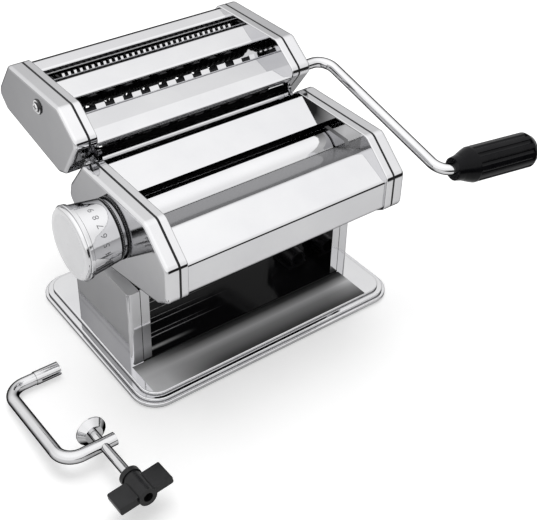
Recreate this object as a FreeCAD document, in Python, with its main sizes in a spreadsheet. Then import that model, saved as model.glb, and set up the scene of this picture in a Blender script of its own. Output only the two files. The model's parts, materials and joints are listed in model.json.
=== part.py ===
import FreeCAD, Part
import math
import os

import Sketcher

# Hand-cranked pasta machine: two smooth rollers with a gauge knob, a lift-off
# head with a wide and a narrow pair of cutters, a crank and a table clamp.
# Millimetres. +X is the crank side, -X the knob side, -Y the front, +Z up.
# The origin is the centre of the base's underside.

V = FreeCAD.Vector

# ---------------------------------------------------------------- dimensions

DIMENSIONS = {
    # base: a pressed sheet with a stepped rim over a rubber mat
    "base_half_x": 105.0,
    "base_half_y": 76.8,
    "base_x": 2.5,
    "base_y": -1.8,
    "base_corner": 18.0,
    "base_top": 8.0,
    "base_sheet": 1.2,
    "mat_thick": 1.2,
    "mat_inset": 0.8,
    "ridge_step": 2.1,
    "ridge_low": 3.6,
    "ridge_high": 5.9,
    "ridge_round": 0.9,
    # stand
    "stand_front": -42.0,
    "stand_rear": 32.0,
    "stand_top": 68.0,
    "stand_sheet": 1.2,
    "stand_web": 76.0,
    "stand_flange": 82.1,
    "stand_lap": 82.6,
    "stand_round": 2.6,
    # socket for the clamp's upper arm
    "socket_x": 62.0,
    "socket_front": -22.0,
    "socket_long": 20.0,
    "socket_z": 16.0,
    "socket_outer": 6.5,
    "socket_bore": 4.7,
    "socket_foot": 8.0,
    # side plates, gaskets and end caps of both heads
    "web": 76.0,
    "pan_wall": 1.6,
    "rim": 81.0,
    "gasket": 82.6,
    "cap_face": 91.0,
    "head_face": 92.0,
    "gasket_wide": 2.4,
    "body_round": 6.0,
    "cap_round": 2.5,
    "plate_round": 0.8,
    "sheet": 1.2,
    "bend": 1.8,
    "fender_bend": 3.4,
    "hopper_sheet": 0.8,
    # legs of the side plates
    "leg_thick": 1.6,
    "leg_foot": 12.0,
    # smooth rollers
    "roller_z": 110.0,
    "front_roller_y": -26.5,
    "rear_roller_y": 4.0,
    "roller": 14.0,
    "roller_wall": 3.0,
    "roller_half": 74.0,
    "journal": 5.0,
    "running": 0.05,
    "disc_inner": 66.0,
    "gear_near": 82.6,
    "gear_wide": 5.6,
    "gear_teeth": 16,
    "gear_root": 12.0,
    "gear_tip": 16.0,
    "bush": 7.0,
    # crank sockets
    "hub": 5.2,
    "hub_end": 90.5,
    "crank_bore": 4.0,
    "crank_deep": 20.0,
    "crank_slot": 2.4,
    "slot_deep": 6.0,
    # gauge: spindle with an eccentric, knob, ring
    "knob_y": -25.4,
    "throw": 1.1,
    "cam": 6.0,
    "cam_inner": 82.4,
    "cam_outer": 87.5,
    "spindle": 4.0,
    "boss_face": 92.2,
    "boss": 19.4,
    "track": 14.0,
    "track_deep": 2.0,
    "stop_pin": 1.5,
    "ring_outer": 20.4,
    "ring_inner": 17.2,
    "ring_near": 92.2,
    "ring_far": 94.0,
    "knob_near": 94.1,
    "knob_hub": 104.0,
    "knob_step": 113.6,
    "knob_rim": 116.8,
    "knob_seat": 23.3,
    "knob_round": 1.9,
    "knob_face": 119.4,
    "knob_small": 20.6,
    "knob_mid": 23.1,
    "knob_large": 24.4,
    "knob_cavity": 18.0,
    "spindle_head": 109.8,
    "spindle_end": 111.4,
    "head": 7.5,
    # carriage that slides the front roller
    "block_near": 78.0,
    "block_far": 81.8,
    "block_front": -41.0,
    "block_rear": -13.0,
    "block_low": 88.6,
    "block_high": 123.0,
    "cam_slot_half": 6.3,
    "cam_slot_rise": 7.4,
    "guide_gap": 0.3,
    "guide_far": 81.4,
    # rods
    "rod": 3.5,
    "rod_end": 2.5,
    "nut": 4.6,
    "nut_thick": 3.2,
    "bolt_head": 2.0,
    "hook_thread": 1.9,
    "hook_nut": 3.4,
    "washer": 5.3,
    # cutter rollers
    "cutter": 8.8,
    "groove": 7.0,
    "cutter_half": 72.5,
    "cutter_journal": 4.0,
    "wide_pitch": 13.5,
    "wide_ridge": 6.6,
    "narrow_pitch": 4.4,
    "narrow_ridge": 1.8,
    "cutter_tip": 9.05,
    "cutter_root": 6.9,
    "hook_near": 73.4,
    "hook_slot": 3.7,
    "comb_wide": 5.6,
    "comb_top": 9.4,
    "comb_low": 20.4,
    "comb_narrow": 1.4,
    "guide_wide": 6.7,
    "guide_wide_start": -56.9,
    "guide_wide_gap": 0.2,
    "guide_narrow": 1.8,
    "guide_narrow_start": -66.0,
    "guide_narrow_gap": 1.8,
    "guide_sheet": 0.8,
    # crank, in its own plane
    "crank_rod": 3.9,
    "crank_start": 72.0,
    "crank_turn": 120.6,
    "crank_reach": 127.5,
    "crank_bend": 12.0,
    "crank_angle": -165.4,
    "grip_tilt": 8.2,
    "grip_near": 9.4,
    "grip_far": 77.0,
    "grip_bore": 4.0,
    "grip_nose": 8.0,
    "grip_body": 12.4,
    "grip_rod": 58.0,
    "cross_pin": 1.1,
    # clamp, in its own plane
    "clamp_y": -12.0,
    "clamp_z": 4.65,
    "clamp_tilt": -5.3,
    "clamp_rod": 4.15,
    "clamp_back": -167.0,
    "clamp_tip": -130.0,
    "clamp_low_tip": -133.0,
    "clamp_drop": 81.0,
    "clamp_bend": 12.0,
    "sleeve": 4.6,
    "sleeve_start": -147.0,
    "sleeve_slot": 1.4,
    "screw_x": -141.6,
    "screw": 3.0,
    "screw_hole": 3.05,
    "pad_front": -66.0,
    "pad_rim": 9.9,
    "pad_deep": 4.5,
    "pad_wall": 1.4,
    "wing_near": -112.5,
    "wing_far": -134.0,
    "wing_hub": 5.8,
    "wing_collar": 6.6,
    "wing_collar_long": 3.4,
    "wing_span": 17.6,
    "wing_thick": 5.4,
    "wing_roll": 7.0,
    "wing_round": 1.3,
}

# Corners of the outlines, as (Y, Z) seen from the side.
CORNERS = {
    # rolling body: side plates and end caps
    "body_top_rear": (7.0, 138.5),
    "body_top_front": (-67.0, 138.5),
    "body_nose_high": (-90.0, 118.0),
    "body_nose_low": (-90.0, 94.0),
    "body_chin": (-79.0, 87.0),
    "body_heel": (-7.0, 74.0),
    "body_tail_low": (28.5, 105.0),
    "body_tail_high": (25.5, 115.5),
    # cutter head: side plates and end caps
    "head_top_rear": (102.0, 167.2),
    "head_top_front": (31.0, 167.5),
    "head_brow": (8.5, 151.0),
    "head_throat": (29.6, 120.0),
    "head_keel": (38.3, 117.0),
    "head_rear_low": (112.0, 128.9),
    "head_rear_mid": (122.2, 138.2),
    "head_rear_high": (119.8, 144.4),
    # hopper plate over the rear roller
    "hopper_back": (1.9, 135.2),
    "hopper_ridge": (1.0, 138.3),
    "hopper_edge": (-25.0, 129.2),
    # fender in front of the front roller
    "fender_low": (-39.7, 117.0),
    "fender_ridge": (-68.0, 129.0),
    "fender_brow": (-88.5, 115.5),
    "fender_hem": (-88.5, 95.0),
    "fender_lip": (-84.0, 91.8),
    # rear wall of the body
    "wall_top": (4.0, 138.0),
    "wall_high": (23.9, 114.6),
    "wall_mid": (26.8, 105.6),
    "wall_low": (13.0, 93.4),
    # cheeks beside the rollers
    "cheek_back": (-2.4, 135.4),
    "cheek_dip": (-19.0, 127.3),
    "cheek_front": (-48.0, 126.3),
    "cheek_tip": (-50.0, 122.6),
    "cheek_toe": (-40.0, 118.2),
    "cheek_heel": (-12.0, 118.2),
    # covers of the cutter head
    "rear_lip": (88.3, 160.5),
    "rear_edge": (88.3, 163.8),
    "rear_ridge": (98.2, 165.6),
    "rear_shoulder": (103.0, 164.2),
    "rear_wall": (118.2, 143.6),
    "rear_turn": (120.4, 138.4),
    "rear_hem": (111.4, 130.6),
    "middle_rear_lip": (69.6, 161.5),
    "middle_rear": (69.6, 164.5),
    "middle_front": (51.3, 159.6),
    "middle_front_lip": (51.3, 156.2),
    "front_lip": (39.4, 151.15),
    "front_edge": (39.4, 153.3),
    "front_crease": (22.0, 150.8),
    "front_brow": (10.7, 147.2),
    "front_hem": (13.2, 143.4),
    # cutter axes and rods
    "wide_drive": (30.0, 140.5),
    "wide_mate": (45.8, 144.1),
    "narrow_drive": (65.5, 151.5),
    "narrow_mate": (81.7, 151.5),
    "cap_screw_left": (59.5, 155.8),
    "cap_screw_right": (97.5, 152.0),
    "ear_rear": (22.6, 129.4),
    "ear_top": (18.4, 135.2),
    "ear_front": (12.6, 134.2),
    "ear_foot_front": (10.3, 128.0),
    "ear_foot_rear": (18.6, 118.6),
    "hook_nose": (11.6, 133.4),
    "hook_chin": (14.9, 127.6),
    "hook_leg_front": (22.6, 118.0),
    "hook_leg_rear": (26.6, 119.4),
    "hook_back": (26.6, 128.4),
    "hook_top": (19.6, 143.0),
    "hook_brow": (11.8, 140.4),
    "rod_nose": (-76.0, 96.5),
    "rod_belly": (-52.0, 89.0),
    "rod_hook": (18.9, 129.6),
    "bolt_front": (-36.5, 72.0),
    "bolt_rear": (24.0, 57.0),
    "rod_head_keel": (56.0, 127.0),
    "rod_head_rear": (104.0, 133.5),
}

BODY_OUTLINE = [
    "body_top_rear", "body_top_front", "body_nose_high", "body_nose_low",
    "body_chin", "body_heel", "body_tail_low", "body_tail_high",
]
HEAD_OUTLINE = [
    "head_top_rear", "head_top_front", "head_brow", "head_throat",
    "head_keel", "head_rear_low", "head_rear_mid", "head_rear_high",
]


class Size:
    """A number together with the sheet expression it is worked out from."""

    def __init__(self, value, text):
        self.value = float(value)
        self.text = text

    def __add__(self, other):
        other = size(other)
        return Size(self.value + other.value, "(%s + %s)" % (self.text, other.text))

    def __sub__(self, other):
        other = size(other)
        return Size(self.value - other.value, "(%s - %s)" % (self.text, other.text))

    def __mul__(self, other):
        other = size(other)
        return Size(self.value * other.value, "(%s * %s)" % (self.text, other.text))

    def __truediv__(self, other):
        other = size(other)
        return Size(self.value / other.value, "(%s / %s)" % (self.text, other.text))

    def __neg__(self):
        return Size(-self.value, "(-1 * %s)" % self.text)


def size(number):
    """Take a plain number or a Size, and give a Size."""
    if isinstance(number, Size):
        return number
    return Size(number, "%.6f" % number if number >= 0 else "(-1 * %.6f)" % -number)


class Cells:
    """The sheet's cells by name: S.web is the cell called web."""

    def __getattr__(self, name):
        if name[-2:] in ("_y", "_z") and name[:-2] in CORNERS:
            pair = CORNERS[name[:-2]]
            return Size(pair[0] if name[-1] == "y" else pair[1], "Sheet." + name)
        return Size(DIMENSIONS[name], "Sheet." + name)


S = Cells()
doc = FreeCAD.newDocument("pasta_machine")
nodes = []


def fill_sheet():
    """Write every driving dimension and corner to the spreadsheet."""
    sheet = doc.addObject("Spreadsheet::Sheet", "Sheet")
    cells = dict(DIMENSIONS)
    for name, pair in CORNERS.items():
        cells[name + "_y"] = pair[0]
        cells[name + "_z"] = pair[1]
    for row, (name, value) in enumerate(cells.items(), 1):
        sheet.set("A%d" % row, name)
        sheet.set("B%d" % row, str(value))
        sheet.setAlias("B%d" % row, name)
    doc.recompute()


# ------------------------------------------------------------ modelling tools

def node(obj, label):
    """Make an object one of the machine's pieces."""
    obj.Label = label
    nodes.append(obj)
    return obj


def bind(obj, name, number):
    """Set a property, and tie it to the sheet where it comes from the sheet."""
    number = size(number)
    if "." in name:
        obj.setExpression(name, number.text)
    else:
        setattr(obj, name, number.value)
        if "Sheet." in number.text:
            obj.setExpression(name, number.text)


def origin_part(body, role):
    return [part for part in body.Origin.OriginFeatures if part.Role == role][0]


def new_body(name):
    return doc.addObject("PartDesign::Body", name)


def new_sketch(body, name, plane, height=0.0):
    """A sketch on an origin plane, lifted along the plane's normal."""
    sketch = body.newObject("Sketcher::SketchObject", name)
    sketch.AttachmentSupport = [(origin_part(body, plane), "")]
    sketch.MapMode = "FlatFace"
    bind(sketch, "AttachmentOffset.Base.z", height)
    return sketch


def hold(sketch, kind, geometry, point, number):
    """Fix one coordinate of a point in a sketch."""
    number = size(number)
    index = sketch.addConstraint(Sketcher.Constraint(kind, -1, 1, geometry, point, number.value))
    if "Sheet." in number.text:
        sketch.setExpression("Constraints[%d]" % index, number.text)


def polygon(sketch, points):
    """A closed loop of straight lines through the points."""
    loop = [(size(u), size(v)) for u, v in points]
    first = sketch.GeometryCount
    count = len(loop)
    for index in range(count):
        start = loop[index]
        end = loop[(index + 1) % count]
        line = Part.LineSegment(V(start[0].value, start[1].value, 0), V(end[0].value, end[1].value, 0))
        sketch.addGeometry(line, False)
    for index in range(count):
        after = first + (index + 1) % count
        sketch.addConstraint(Sketcher.Constraint("Coincident", first + index, 2, after, 1))
    for index, (u, v) in enumerate(loop):
        hold(sketch, "DistanceX", first + index, 1, u)
        hold(sketch, "DistanceY", first + index, 1, v)


def circle(sketch, u, v, radius):
    """A circle held at its centre."""
    u, v, radius = size(u), size(v), size(radius)
    ring = Part.Circle(V(u.value, v.value, 0), V(0, 0, 1), radius.value)
    geometry = sketch.addGeometry(ring, False)
    hold(sketch, "DistanceX", geometry, 3, u)
    hold(sketch, "DistanceY", geometry, 3, v)
    index = sketch.addConstraint(Sketcher.Constraint("Radius", geometry, radius.value))
    if "Sheet." in radius.text:
        sketch.setExpression("Constraints[%d]" % index, radius.text)


def draw(sketch, shapes):
    """Draw polygons, given as lists of points, and circles, as (u, v, radius)."""
    for shape in shapes:
        if isinstance(shape, tuple):
            circle(sketch, *shape)
        else:
            polygon(sketch, shape)


def settle(feature):
    """Recompute, and stop at once if the feature has failed."""
    doc.recompute()
    if "Invalid" in feature.State or "Error" in feature.State:
        raise RuntimeError("%s is %s" % (feature.Name, feature.State))
    return feature


def box_outline(u_low, v_low, u_high, v_high):
    return [(u_low, v_low), (u_high, v_low), (u_high, v_high), (u_low, v_high)]


def lift(plane, low, high):
    """Where a slab's sketch lies along its plane's normal."""
    return -size(high) if plane == "XZ_Plane" else size(low)


def slab(body, name, plane, shapes, low, high):
    """Pad shapes from one place to another along the plane's axis."""
    low, high = size(low), size(high)
    sketch = new_sketch(body, name + "_outline", plane, lift(plane, low, high))
    draw(sketch, shapes)
    pad = body.newObject("PartDesign::Pad", name)
    pad.Profile = sketch
    bind(pad, "Length", high - low)
    return settle(pad)


def cut(body, name, plane, shapes, low, high):
    """Pocket shapes between two places, and check that it removes metal."""
    low, high = size(low), size(high)
    before = body.Shape.Volume
    sketch = new_sketch(body, name + "_outline", plane, lift(plane, low, high))
    draw(sketch, shapes)
    pocket = body.newObject("PartDesign::Pocket", name)
    pocket.Profile = sketch
    pocket.Type = 0
    pocket.Reversed = True
    bind(pocket, "Length", high - low)
    settle(pocket)
    if body.Shape.Volume > before - 0.01:
        raise RuntimeError("%s cuts nothing from %s" % (name, body.Name))
    return pocket


def edges_where(shape, test):
    return ["Edge%d" % i for i, edge in enumerate(shape.Edges, 1) if test(edge.BoundBox)]


def faces_where(shape, test):
    return ["Face%d" % i for i, face in enumerate(shape.Faces, 1) if test(face)]


def fillet(body, name, base, radius, test):
    """Round the edges whose boxes pass the test."""
    feature = body.newObject("PartDesign::Fillet", name)
    feature.Base = (base, edges_where(base.Shape, test))
    bind(feature, "Radius", radius)
    return settle(feature)


def shell(body, name, base, wall, faces):
    """Hollow a solid to sheet metal, open at the given faces."""
    feature = body.newObject("PartDesign::Thickness", name)
    feature.Base = (base, faces)
    feature.Reversed = True
    feature.Mode = 0
    feature.Join = 0
    bind(feature, "Value", wall)
    return settle(feature)


def place(obj, x=None, y=None, z=None, turn=None, axis=V(1, 0, 0)):
    """Set a piece's Placement from the sheet."""
    if turn is not None:
        obj.Placement = FreeCAD.Placement(V(0, 0, 0), FreeCAD.Rotation(axis, size(turn).value))
        obj.setExpression("Placement.Rotation.Angle", size(turn).text)
    for letter, number in (("x", x), ("y", y), ("z", z)):
        if number is not None:
            obj.setExpression("Placement.Base." + letter, size(number).text)
    doc.recompute()
    return obj


def turned(name, profile, y=None, z=None, turn=None):
    """A piece turned about its own X axis; the profile is (x, radius)."""
    body = new_body(name)
    sketch = new_sketch(body, name + "_profile", "XY_Plane")
    polygon(sketch, profile)
    spin = body.newObject("PartDesign::Revolution", name + "_turned")
    spin.Profile = sketch
    spin.ReferenceAxis = (origin_part(body, "X_Axis"), [""])
    spin.Angle = 360
    doc.recompute()
    return place(body, y=y, z=z, turn=turn)


def along_x(box):
    return box.XLength > 1.0 and box.YLength < 0.01 and box.ZLength < 0.01


def along_z(box):
    return box.ZLength > 1.0 and box.XLength < 0.01 and box.YLength < 0.01


def outline(names):
    """Corners by name, as pairs of cells."""
    return [(getattr(S, name + "_y"), getattr(S, name + "_z")) for name in names]


def flat_at_x(face, x):
    box = face.BoundBox
    return abs(box.XMin - x) < 0.02 and abs(box.XMax - x) < 0.02


def span(side, near, far):
    """The X range of a piece that lies between near and far on one side."""
    near, far = size(near), size(far)
    return (near, far) if side > 0 else (-far, -near)


# ------------------------------------------------------------------ the base

def rounded_rectangle(sketch, left, front, right, rear, radius):
    """A rectangle with rounded corners."""
    sides = [
        ((left + radius, front), (right - radius, front)),
        ((right, front + radius), (right, rear - radius)),
        ((right - radius, rear), (left + radius, rear)),
        ((left, rear - radius), (left, front + radius)),
    ]
    centres = [
        (right - radius, front + radius), (right - radius, rear - radius),
        (left + radius, rear - radius), (left + radius, front + radius),
    ]
    for start, end in sides:
        line = Part.LineSegment(V(start[0].value, start[1].value, 0), V(end[0].value, end[1].value, 0))
        sketch.addGeometry(line, False)
    for index, (u, v) in enumerate(centres):
        ring = Part.Circle(V(u.value, v.value, 0), V(0, 0, 1), radius.value)
        quarter = math.pi / 2
        sketch.addGeometry(Part.ArcOfCircle(ring, quarter * (index - 1), quarter * index), False)
    for index, (start, end) in enumerate(sides):
        arc = 4 + index
        sketch.addConstraint(Sketcher.Constraint("Coincident", index, 2, arc, 1))
        sketch.addConstraint(Sketcher.Constraint("Coincident", arc, 2, (index + 1) % 4, 1))
        for point, spot in ((1, start), (2, end)):
            hold(sketch, "DistanceX", index, point, spot[0])
            hold(sketch, "DistanceY", index, point, spot[1])
        bend = sketch.addConstraint(Sketcher.Constraint("Radius", arc, radius.value))
        sketch.setExpression("Constraints[%d]" % bend, radius.text)


def rounded_layer(body, name, inset, low, high, hollow=False):
    """One step of the base's rim, or a hollow of the same outline."""
    inset, low, high = size(inset), size(low), size(high)
    sketch = new_sketch(body, name + "_outline", "XY_Plane", low)
    half_x, half_y = S.base_half_x - inset, S.base_half_y - inset
    rounded_rectangle(
        sketch, S.base_x - half_x, S.base_y - half_y, S.base_x + half_x, S.base_y + half_y,
        S.base_corner - inset,
    )
    before = body.Shape.Volume if hollow else 0.0
    layer = body.newObject("PartDesign::Pocket" if hollow else "PartDesign::Pad", name)
    layer.Profile = sketch
    bind(layer, "Length", high - low)
    if hollow:
        layer.Reversed = True
    doc.recompute()
    if hollow and body.Shape.Volume > before - 1.0:
        raise RuntimeError("%s cuts nothing" % name)
    return layer


def round_layer_edge(body, layer, high):
    """Roll the upper edge of one step of the rim."""
    top = size(high).value
    return fillet(
        body, layer.Name + "_edge", layer, S.ridge_round,
        lambda box: box.ZMin > top - 0.01 and box.ZLength < 0.01,
    )


def make_base():
    """Pressed base plate with a stepped rim, hollow underneath."""
    body = new_body("base_plate")
    plateau_inset = S.ridge_step * 2 + 1.6
    for name, inset, top in (
        ("rim", 0.0, S.ridge_low),
        ("ridge", S.ridge_step, S.ridge_high),
        ("plateau", plateau_inset, S.base_top),
    ):
        layer = rounded_layer(body, name, inset, S.mat_thick, top)
        round_layer_edge(body, layer, top)
    rounded_layer(
        body, "rim_hollow", S.ridge_step + S.base_sheet, S.mat_thick, S.ridge_high - S.base_sheet, True
    )
    rounded_layer(
        body, "plateau_hollow", plateau_inset + S.base_sheet, S.mat_thick, S.base_top - S.base_sheet, True
    )
    node(body, "base_plate")

    mat = new_body("base_mat")
    rounded_layer(mat, "mat", S.mat_inset, 0.0, S.mat_thick)
    node(mat, "base_mat")


# ----------------------------------------------------------------- the stand

def make_stand_side(label, side):
    """Outer sheet of one side of the stand, its flanges turned inwards."""
    body = new_body(label)
    low, high = span(side, S.stand_lap, S.cap_face)
    pad = slab(
        body, "block", "XY_Plane",
        [box_outline(low, S.stand_front, high, S.stand_rear)], S.base_top, S.stand_top,
    )
    outer = side * S.cap_face.value
    inner = side * S.stand_lap.value
    rounded = fillet(
        body, "bends", pad, S.stand_round,
        lambda box: along_z(box) and abs(box.XMin - outer) < 0.01,
    )
    faces = faces_where(rounded.Shape, lambda face: flat_at_x(face, inner))
    shell(body, "folded_sheet", rounded, S.stand_sheet, faces)
    node(body, label)


def make_stand_cradle():
    """Inner sheet of the stand: one strip folded up at both sides, its
    flanges turned outwards."""
    body = new_body("stand_cradle")
    outer = S.stand_web + S.stand_sheet
    slab(
        body, "deck", "XY_Plane",
        [box_outline(-outer, S.stand_front, outer, S.stand_rear)],
        S.base_top, S.base_top + S.stand_sheet,
    )
    for name, side in (("left", -1), ("right", 1)):
        low, high = span(side, S.stand_web, outer)
        slab(
            body, "web_" + name, "XY_Plane",
            [box_outline(low, S.stand_front, high, S.stand_rear)], S.base_top, S.stand_top,
        )
        low, high = span(side, S.stand_web, S.stand_flange)
        for end, front, rear in (
            ("front", S.stand_front, S.stand_front + S.stand_sheet),
            ("rear", S.stand_rear - S.stand_sheet, S.stand_rear),
        ):
            slab(
                body, "flange_%s_%s" % (end, name), "XY_Plane",
                [box_outline(low, front, high, rear)], S.base_top, S.stand_top,
            )
    holes = [(S.bolt_rear_y, S.bolt_rear_z, S.rod_end)]
    cut(body, "rod_holes", "YZ_Plane", holes, -outer - 1, outer + 1)
    node(body, "stand_cradle")


def make_clamp_socket():
    """Short tube on the deck that takes the clamp's upper arm."""
    body = new_body("clamp_socket")
    floor = S.base_top + S.stand_sheet
    rear = S.socket_front + S.socket_long
    slab(
        body, "foot", "XZ_Plane",
        [box_outline(S.socket_x - S.socket_foot, floor, S.socket_x + S.socket_foot, floor + 2.4)],
        S.socket_front, rear,
    )
    slab(
        body, "tube", "XZ_Plane", [(S.socket_x, S.socket_z, S.socket_outer)],
        S.socket_front, rear,
    )
    cut(
        body, "bore", "XZ_Plane", [(S.socket_x, S.socket_z, S.socket_bore)],
        S.socket_front, rear,
    )
    node(body, "clamp_socket")


# ------------------------------------------------- side plates and end caps

def pressed_pan(name, names, low, high, open_x, wall, edge_round):
    """A dished plate: the outline padded, rounded and hollowed from one side."""
    low, high = size(low), size(high)
    body = new_body(name)
    pad = slab(body, "block", "YZ_Plane", [outline(names)], low, high)
    solid = fillet(body, "corners", pad, S.body_round, along_x)
    closed_x = low.value if abs(open_x - high.value) < 0.01 else high.value

    def on_closed_face(box):
        return abs(box.XMin - closed_x) < 0.01 and abs(box.XMax - closed_x) < 0.01

    # an edge rounder than the wall is pressed with it, a finer one is only broken
    pressed_edge = edge_round.value > wall.value
    if pressed_edge:
        solid = fillet(body, "face_edge", solid, edge_round, on_closed_face)
    open_faces = faces_where(solid.Shape, lambda face: flat_at_x(face, open_x))
    pressed = shell(body, "pressed", solid, wall, open_faces)
    if not pressed_edge:
        fillet(body, "face_edge", pressed, edge_round, on_closed_face)
    return body


def make_side_plate(label, side):
    """Side plate of the rolling body, with its leg, ear and guides."""
    low, high = span(side, S.web, S.rim)
    body = pressed_pan(label, BODY_OUTLINE, low, high, side * S.rim.value, S.pan_wall, S.plate_round)
    leg_near = S.stand_web + S.stand_sheet
    low, high = span(side, leg_near, leg_near + S.leg_thick)
    front = S.stand_front + 1.5
    rear = S.stand_rear - 1.5
    leg = [
        (front, S.leg_foot), (rear, S.leg_foot), (rear, S.stand_top - 4), (4.0, 86.0),
        (-38.0, 86.0), (front, 82.0),
    ]
    slab(body, "leg", "YZ_Plane", [leg], low, high)
    ear = outline(["ear_rear", "ear_top", "ear_front", "ear_foot_front", "ear_foot_rear"])
    low, high = span(side, S.web + 0.4, S.web + 0.4 + S.pan_wall)
    slab(body, "ear", "YZ_Plane", [ear], low, high)
    low, high = span(side, S.web + 0.8, S.guide_far)
    guides = [
        box_outline(S.block_front - 2, S.block_high + S.guide_gap, S.block_rear + 6, S.block_high + 2.6),
        box_outline(S.block_front + 2, S.block_low - 2.4, S.block_rear - 3, S.block_low - S.guide_gap),
    ]
    slab(body, "guides", "YZ_Plane", guides, low, high)
    low, high = span(side, S.web - 1, S.rim + 3)
    openings = [
        (S.rear_roller_y, S.roller_z, S.bush),
        box_outline(S.front_roller_y - 6.6, S.roller_z - 6.6, S.front_roller_y + 8.8, S.roller_z + 6.6),
        box_outline(S.block_front + 2.6, S.block_low + 0.2, S.block_rear - 1.6, S.roller_z - 11.4),
    ]
    cut(body, "openings", "YZ_Plane", openings, low, high)
    rods = ["rod_nose", "rod_belly", "bolt_front", "bolt_rear"]
    holes = [(y, z, S.rod_end) for y, z in outline(rods)]
    holes.append((S.rod_hook_y, S.rod_hook_z, S.hook_thread))
    cut(body, "rod_holes", "YZ_Plane", holes, low, high)
    node(body, label)


def make_gauge_boss(body):
    """Round boss on the left end cap, with the stop pin's curved track."""
    slab(body, "boss", "YZ_Plane", [(S.knob_y, S.roller_z, S.boss)], -S.boss_face, -S.cap_face + 1.2)
    bore = [(S.knob_y, S.roller_z, S.spindle + S.running)]
    cut(body, "spindle_bore", "YZ_Plane", bore, -S.boss_face - 1, -S.cap_face + 3)
    cut_pin_track(body)


def cut_pin_track(body):
    """Half-round track, a pin's width, in the boss's face."""
    sketch = new_sketch(body, "track_outline", "YZ_Plane", -S.boss_face)
    middle = V(S.knob_y.value, S.roller_z.value, 0)
    reach = S.stop_pin.value + 0.2
    over = math.radians(1.5)
    normal = V(0, 0, 1)
    for radius in (S.track.value - reach, S.track.value + reach):
        ring = Part.Circle(middle, normal, radius)
        sketch.addGeometry(Part.ArcOfCircle(ring, -over, math.pi + over), False)
    for turn, start in ((-over, math.pi), (math.pi + over, 0.0)):
        tip = middle + V(math.cos(turn), math.sin(turn), 0) * S.track.value
        ring = Part.Circle(tip, normal, reach)
        base = turn + (0.0 if start == 0.0 else math.pi)
        sketch.addGeometry(Part.ArcOfCircle(ring, base, base + math.pi), False)
    before = body.Shape.Volume
    pocket = body.newObject("PartDesign::Pocket", "pin_track")
    pocket.Profile = sketch
    pocket.Type = 0
    pocket.Reversed = True
    bind(pocket, "Length", S.track_deep)
    doc.recompute()
    if body.Shape.Volume > before - 1.0:
        raise RuntimeError("the pin track cuts nothing")


def make_end_cap(label, names, side, face, hub_holes, screw_holes):
    """Pressed end cap over one end of the body or the cutter head."""
    low, high = span(side, S.gasket, face)
    body = pressed_pan(label, names, low, high, side * S.gasket.value, S.pan_wall, S.cap_round)
    holes = [(y, z, S.hub + 1.0) for y, z in hub_holes]
    holes += [(y, z, S.rod_end + S.running) for y, z in screw_holes]
    if holes:
        low, high = span(side, face - 2.5, face + 1)
        cut(body, "face_holes", "YZ_Plane", holes, low, high)
    return body


def make_gaskets(label, names):
    """Black sealing strips between side plates and end caps."""
    strips = []
    for name, side in (("left", -1), ("right", 1)):
        low, high = span(side, S.rim, S.gasket)
        body = new_body("%s_%s" % (label, name))
        pad = slab(body, "block", "YZ_Plane", [outline(names)], low, high)
        rounded = fillet(
            body, "corners", pad, S.body_round,
            lambda box: box.XLength > 0.3 and box.YLength < 0.01 and box.ZLength < 0.01,
        )
        flats = faces_where(
            rounded.Shape, lambda face: flat_at_x(face, low.value) or flat_at_x(face, high.value)
        )
        shell(body, "strip", rounded, S.gasket_wide, flats)
        strips.append(body)
    gather(label, strips)


def gather(label, parts):
    """Put like pieces together in one node, each its own solid."""
    group = doc.addObject("Part::Compound", label)
    group.Links = parts
    doc.recompute()
    return node(group, label)


# --------------------------------------------------------- sheet metal covers

def folded_sheet(label, names, wall=None, bend=None):
    """A strip between the side plates, bent along the named corners. The
    straight line from the last corner to the first is left open."""
    body = new_body(label)
    points = outline(names)
    pad = slab(body, "block", "YZ_Plane", [points], -S.web, S.web)
    inner = points[1:-1]

    def at_bend(box):
        return along_x(box) and any(
            abs(box.YMin - y.value) < 0.01 and abs(box.ZMin - z.value) < 0.01 for y, z in inner
        )

    rounded = fillet(body, "bends", pad, S.bend if bend is None else bend, at_bend)
    first, last = points[0], points[-1]
    middle = Part.Vertex(0, (first[0].value + last[0].value) / 2, (first[1].value + last[1].value) / 2)
    web = S.web.value
    faces = faces_where(
        rounded.Shape,
        lambda face: flat_at_x(face, web) or flat_at_x(face, -web) or face.distToShape(middle)[0] < 1e-4,
    )
    shell(body, "sheet", rounded, S.sheet if wall is None else wall, faces)
    node(body, label)


def make_cheeks():
    """Thin guide plates beside the rollers, one at each end."""
    names = ["cheek_back", "cheek_dip", "cheek_front", "cheek_tip", "cheek_toe", "cheek_heel"]
    parts = []
    for name, side in (("left", -1), ("right", 1)):
        body = new_body("dough_cheek_" + name)
        low, high = span(side, S.roller_half + 0.4, S.web)
        slab(body, "plate", "YZ_Plane", [outline(names)], low, high)
        parts.append(body)
    gather("dough_cheeks", parts)


def make_rear_scraper():
    """Fixed blade that keeps dough off the rear roller."""
    body = new_body("rear_scraper")
    y = S.rear_roller_y
    z = S.roller_z
    blade = [
        (y + 9.5, z - 21.0), (y - 4.5, z - 21.0), (y - 8.6, z - 13.6), (y - 7.8, z - 12.9),
        (y - 3.0, z - 17.0), (y + 9.5, z - 17.0),
    ]
    slab(body, "blade", "YZ_Plane", [blade], -S.web, S.web)
    node(body, "rear_scraper")


# -------------------------------------------------------------------- gears

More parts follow.
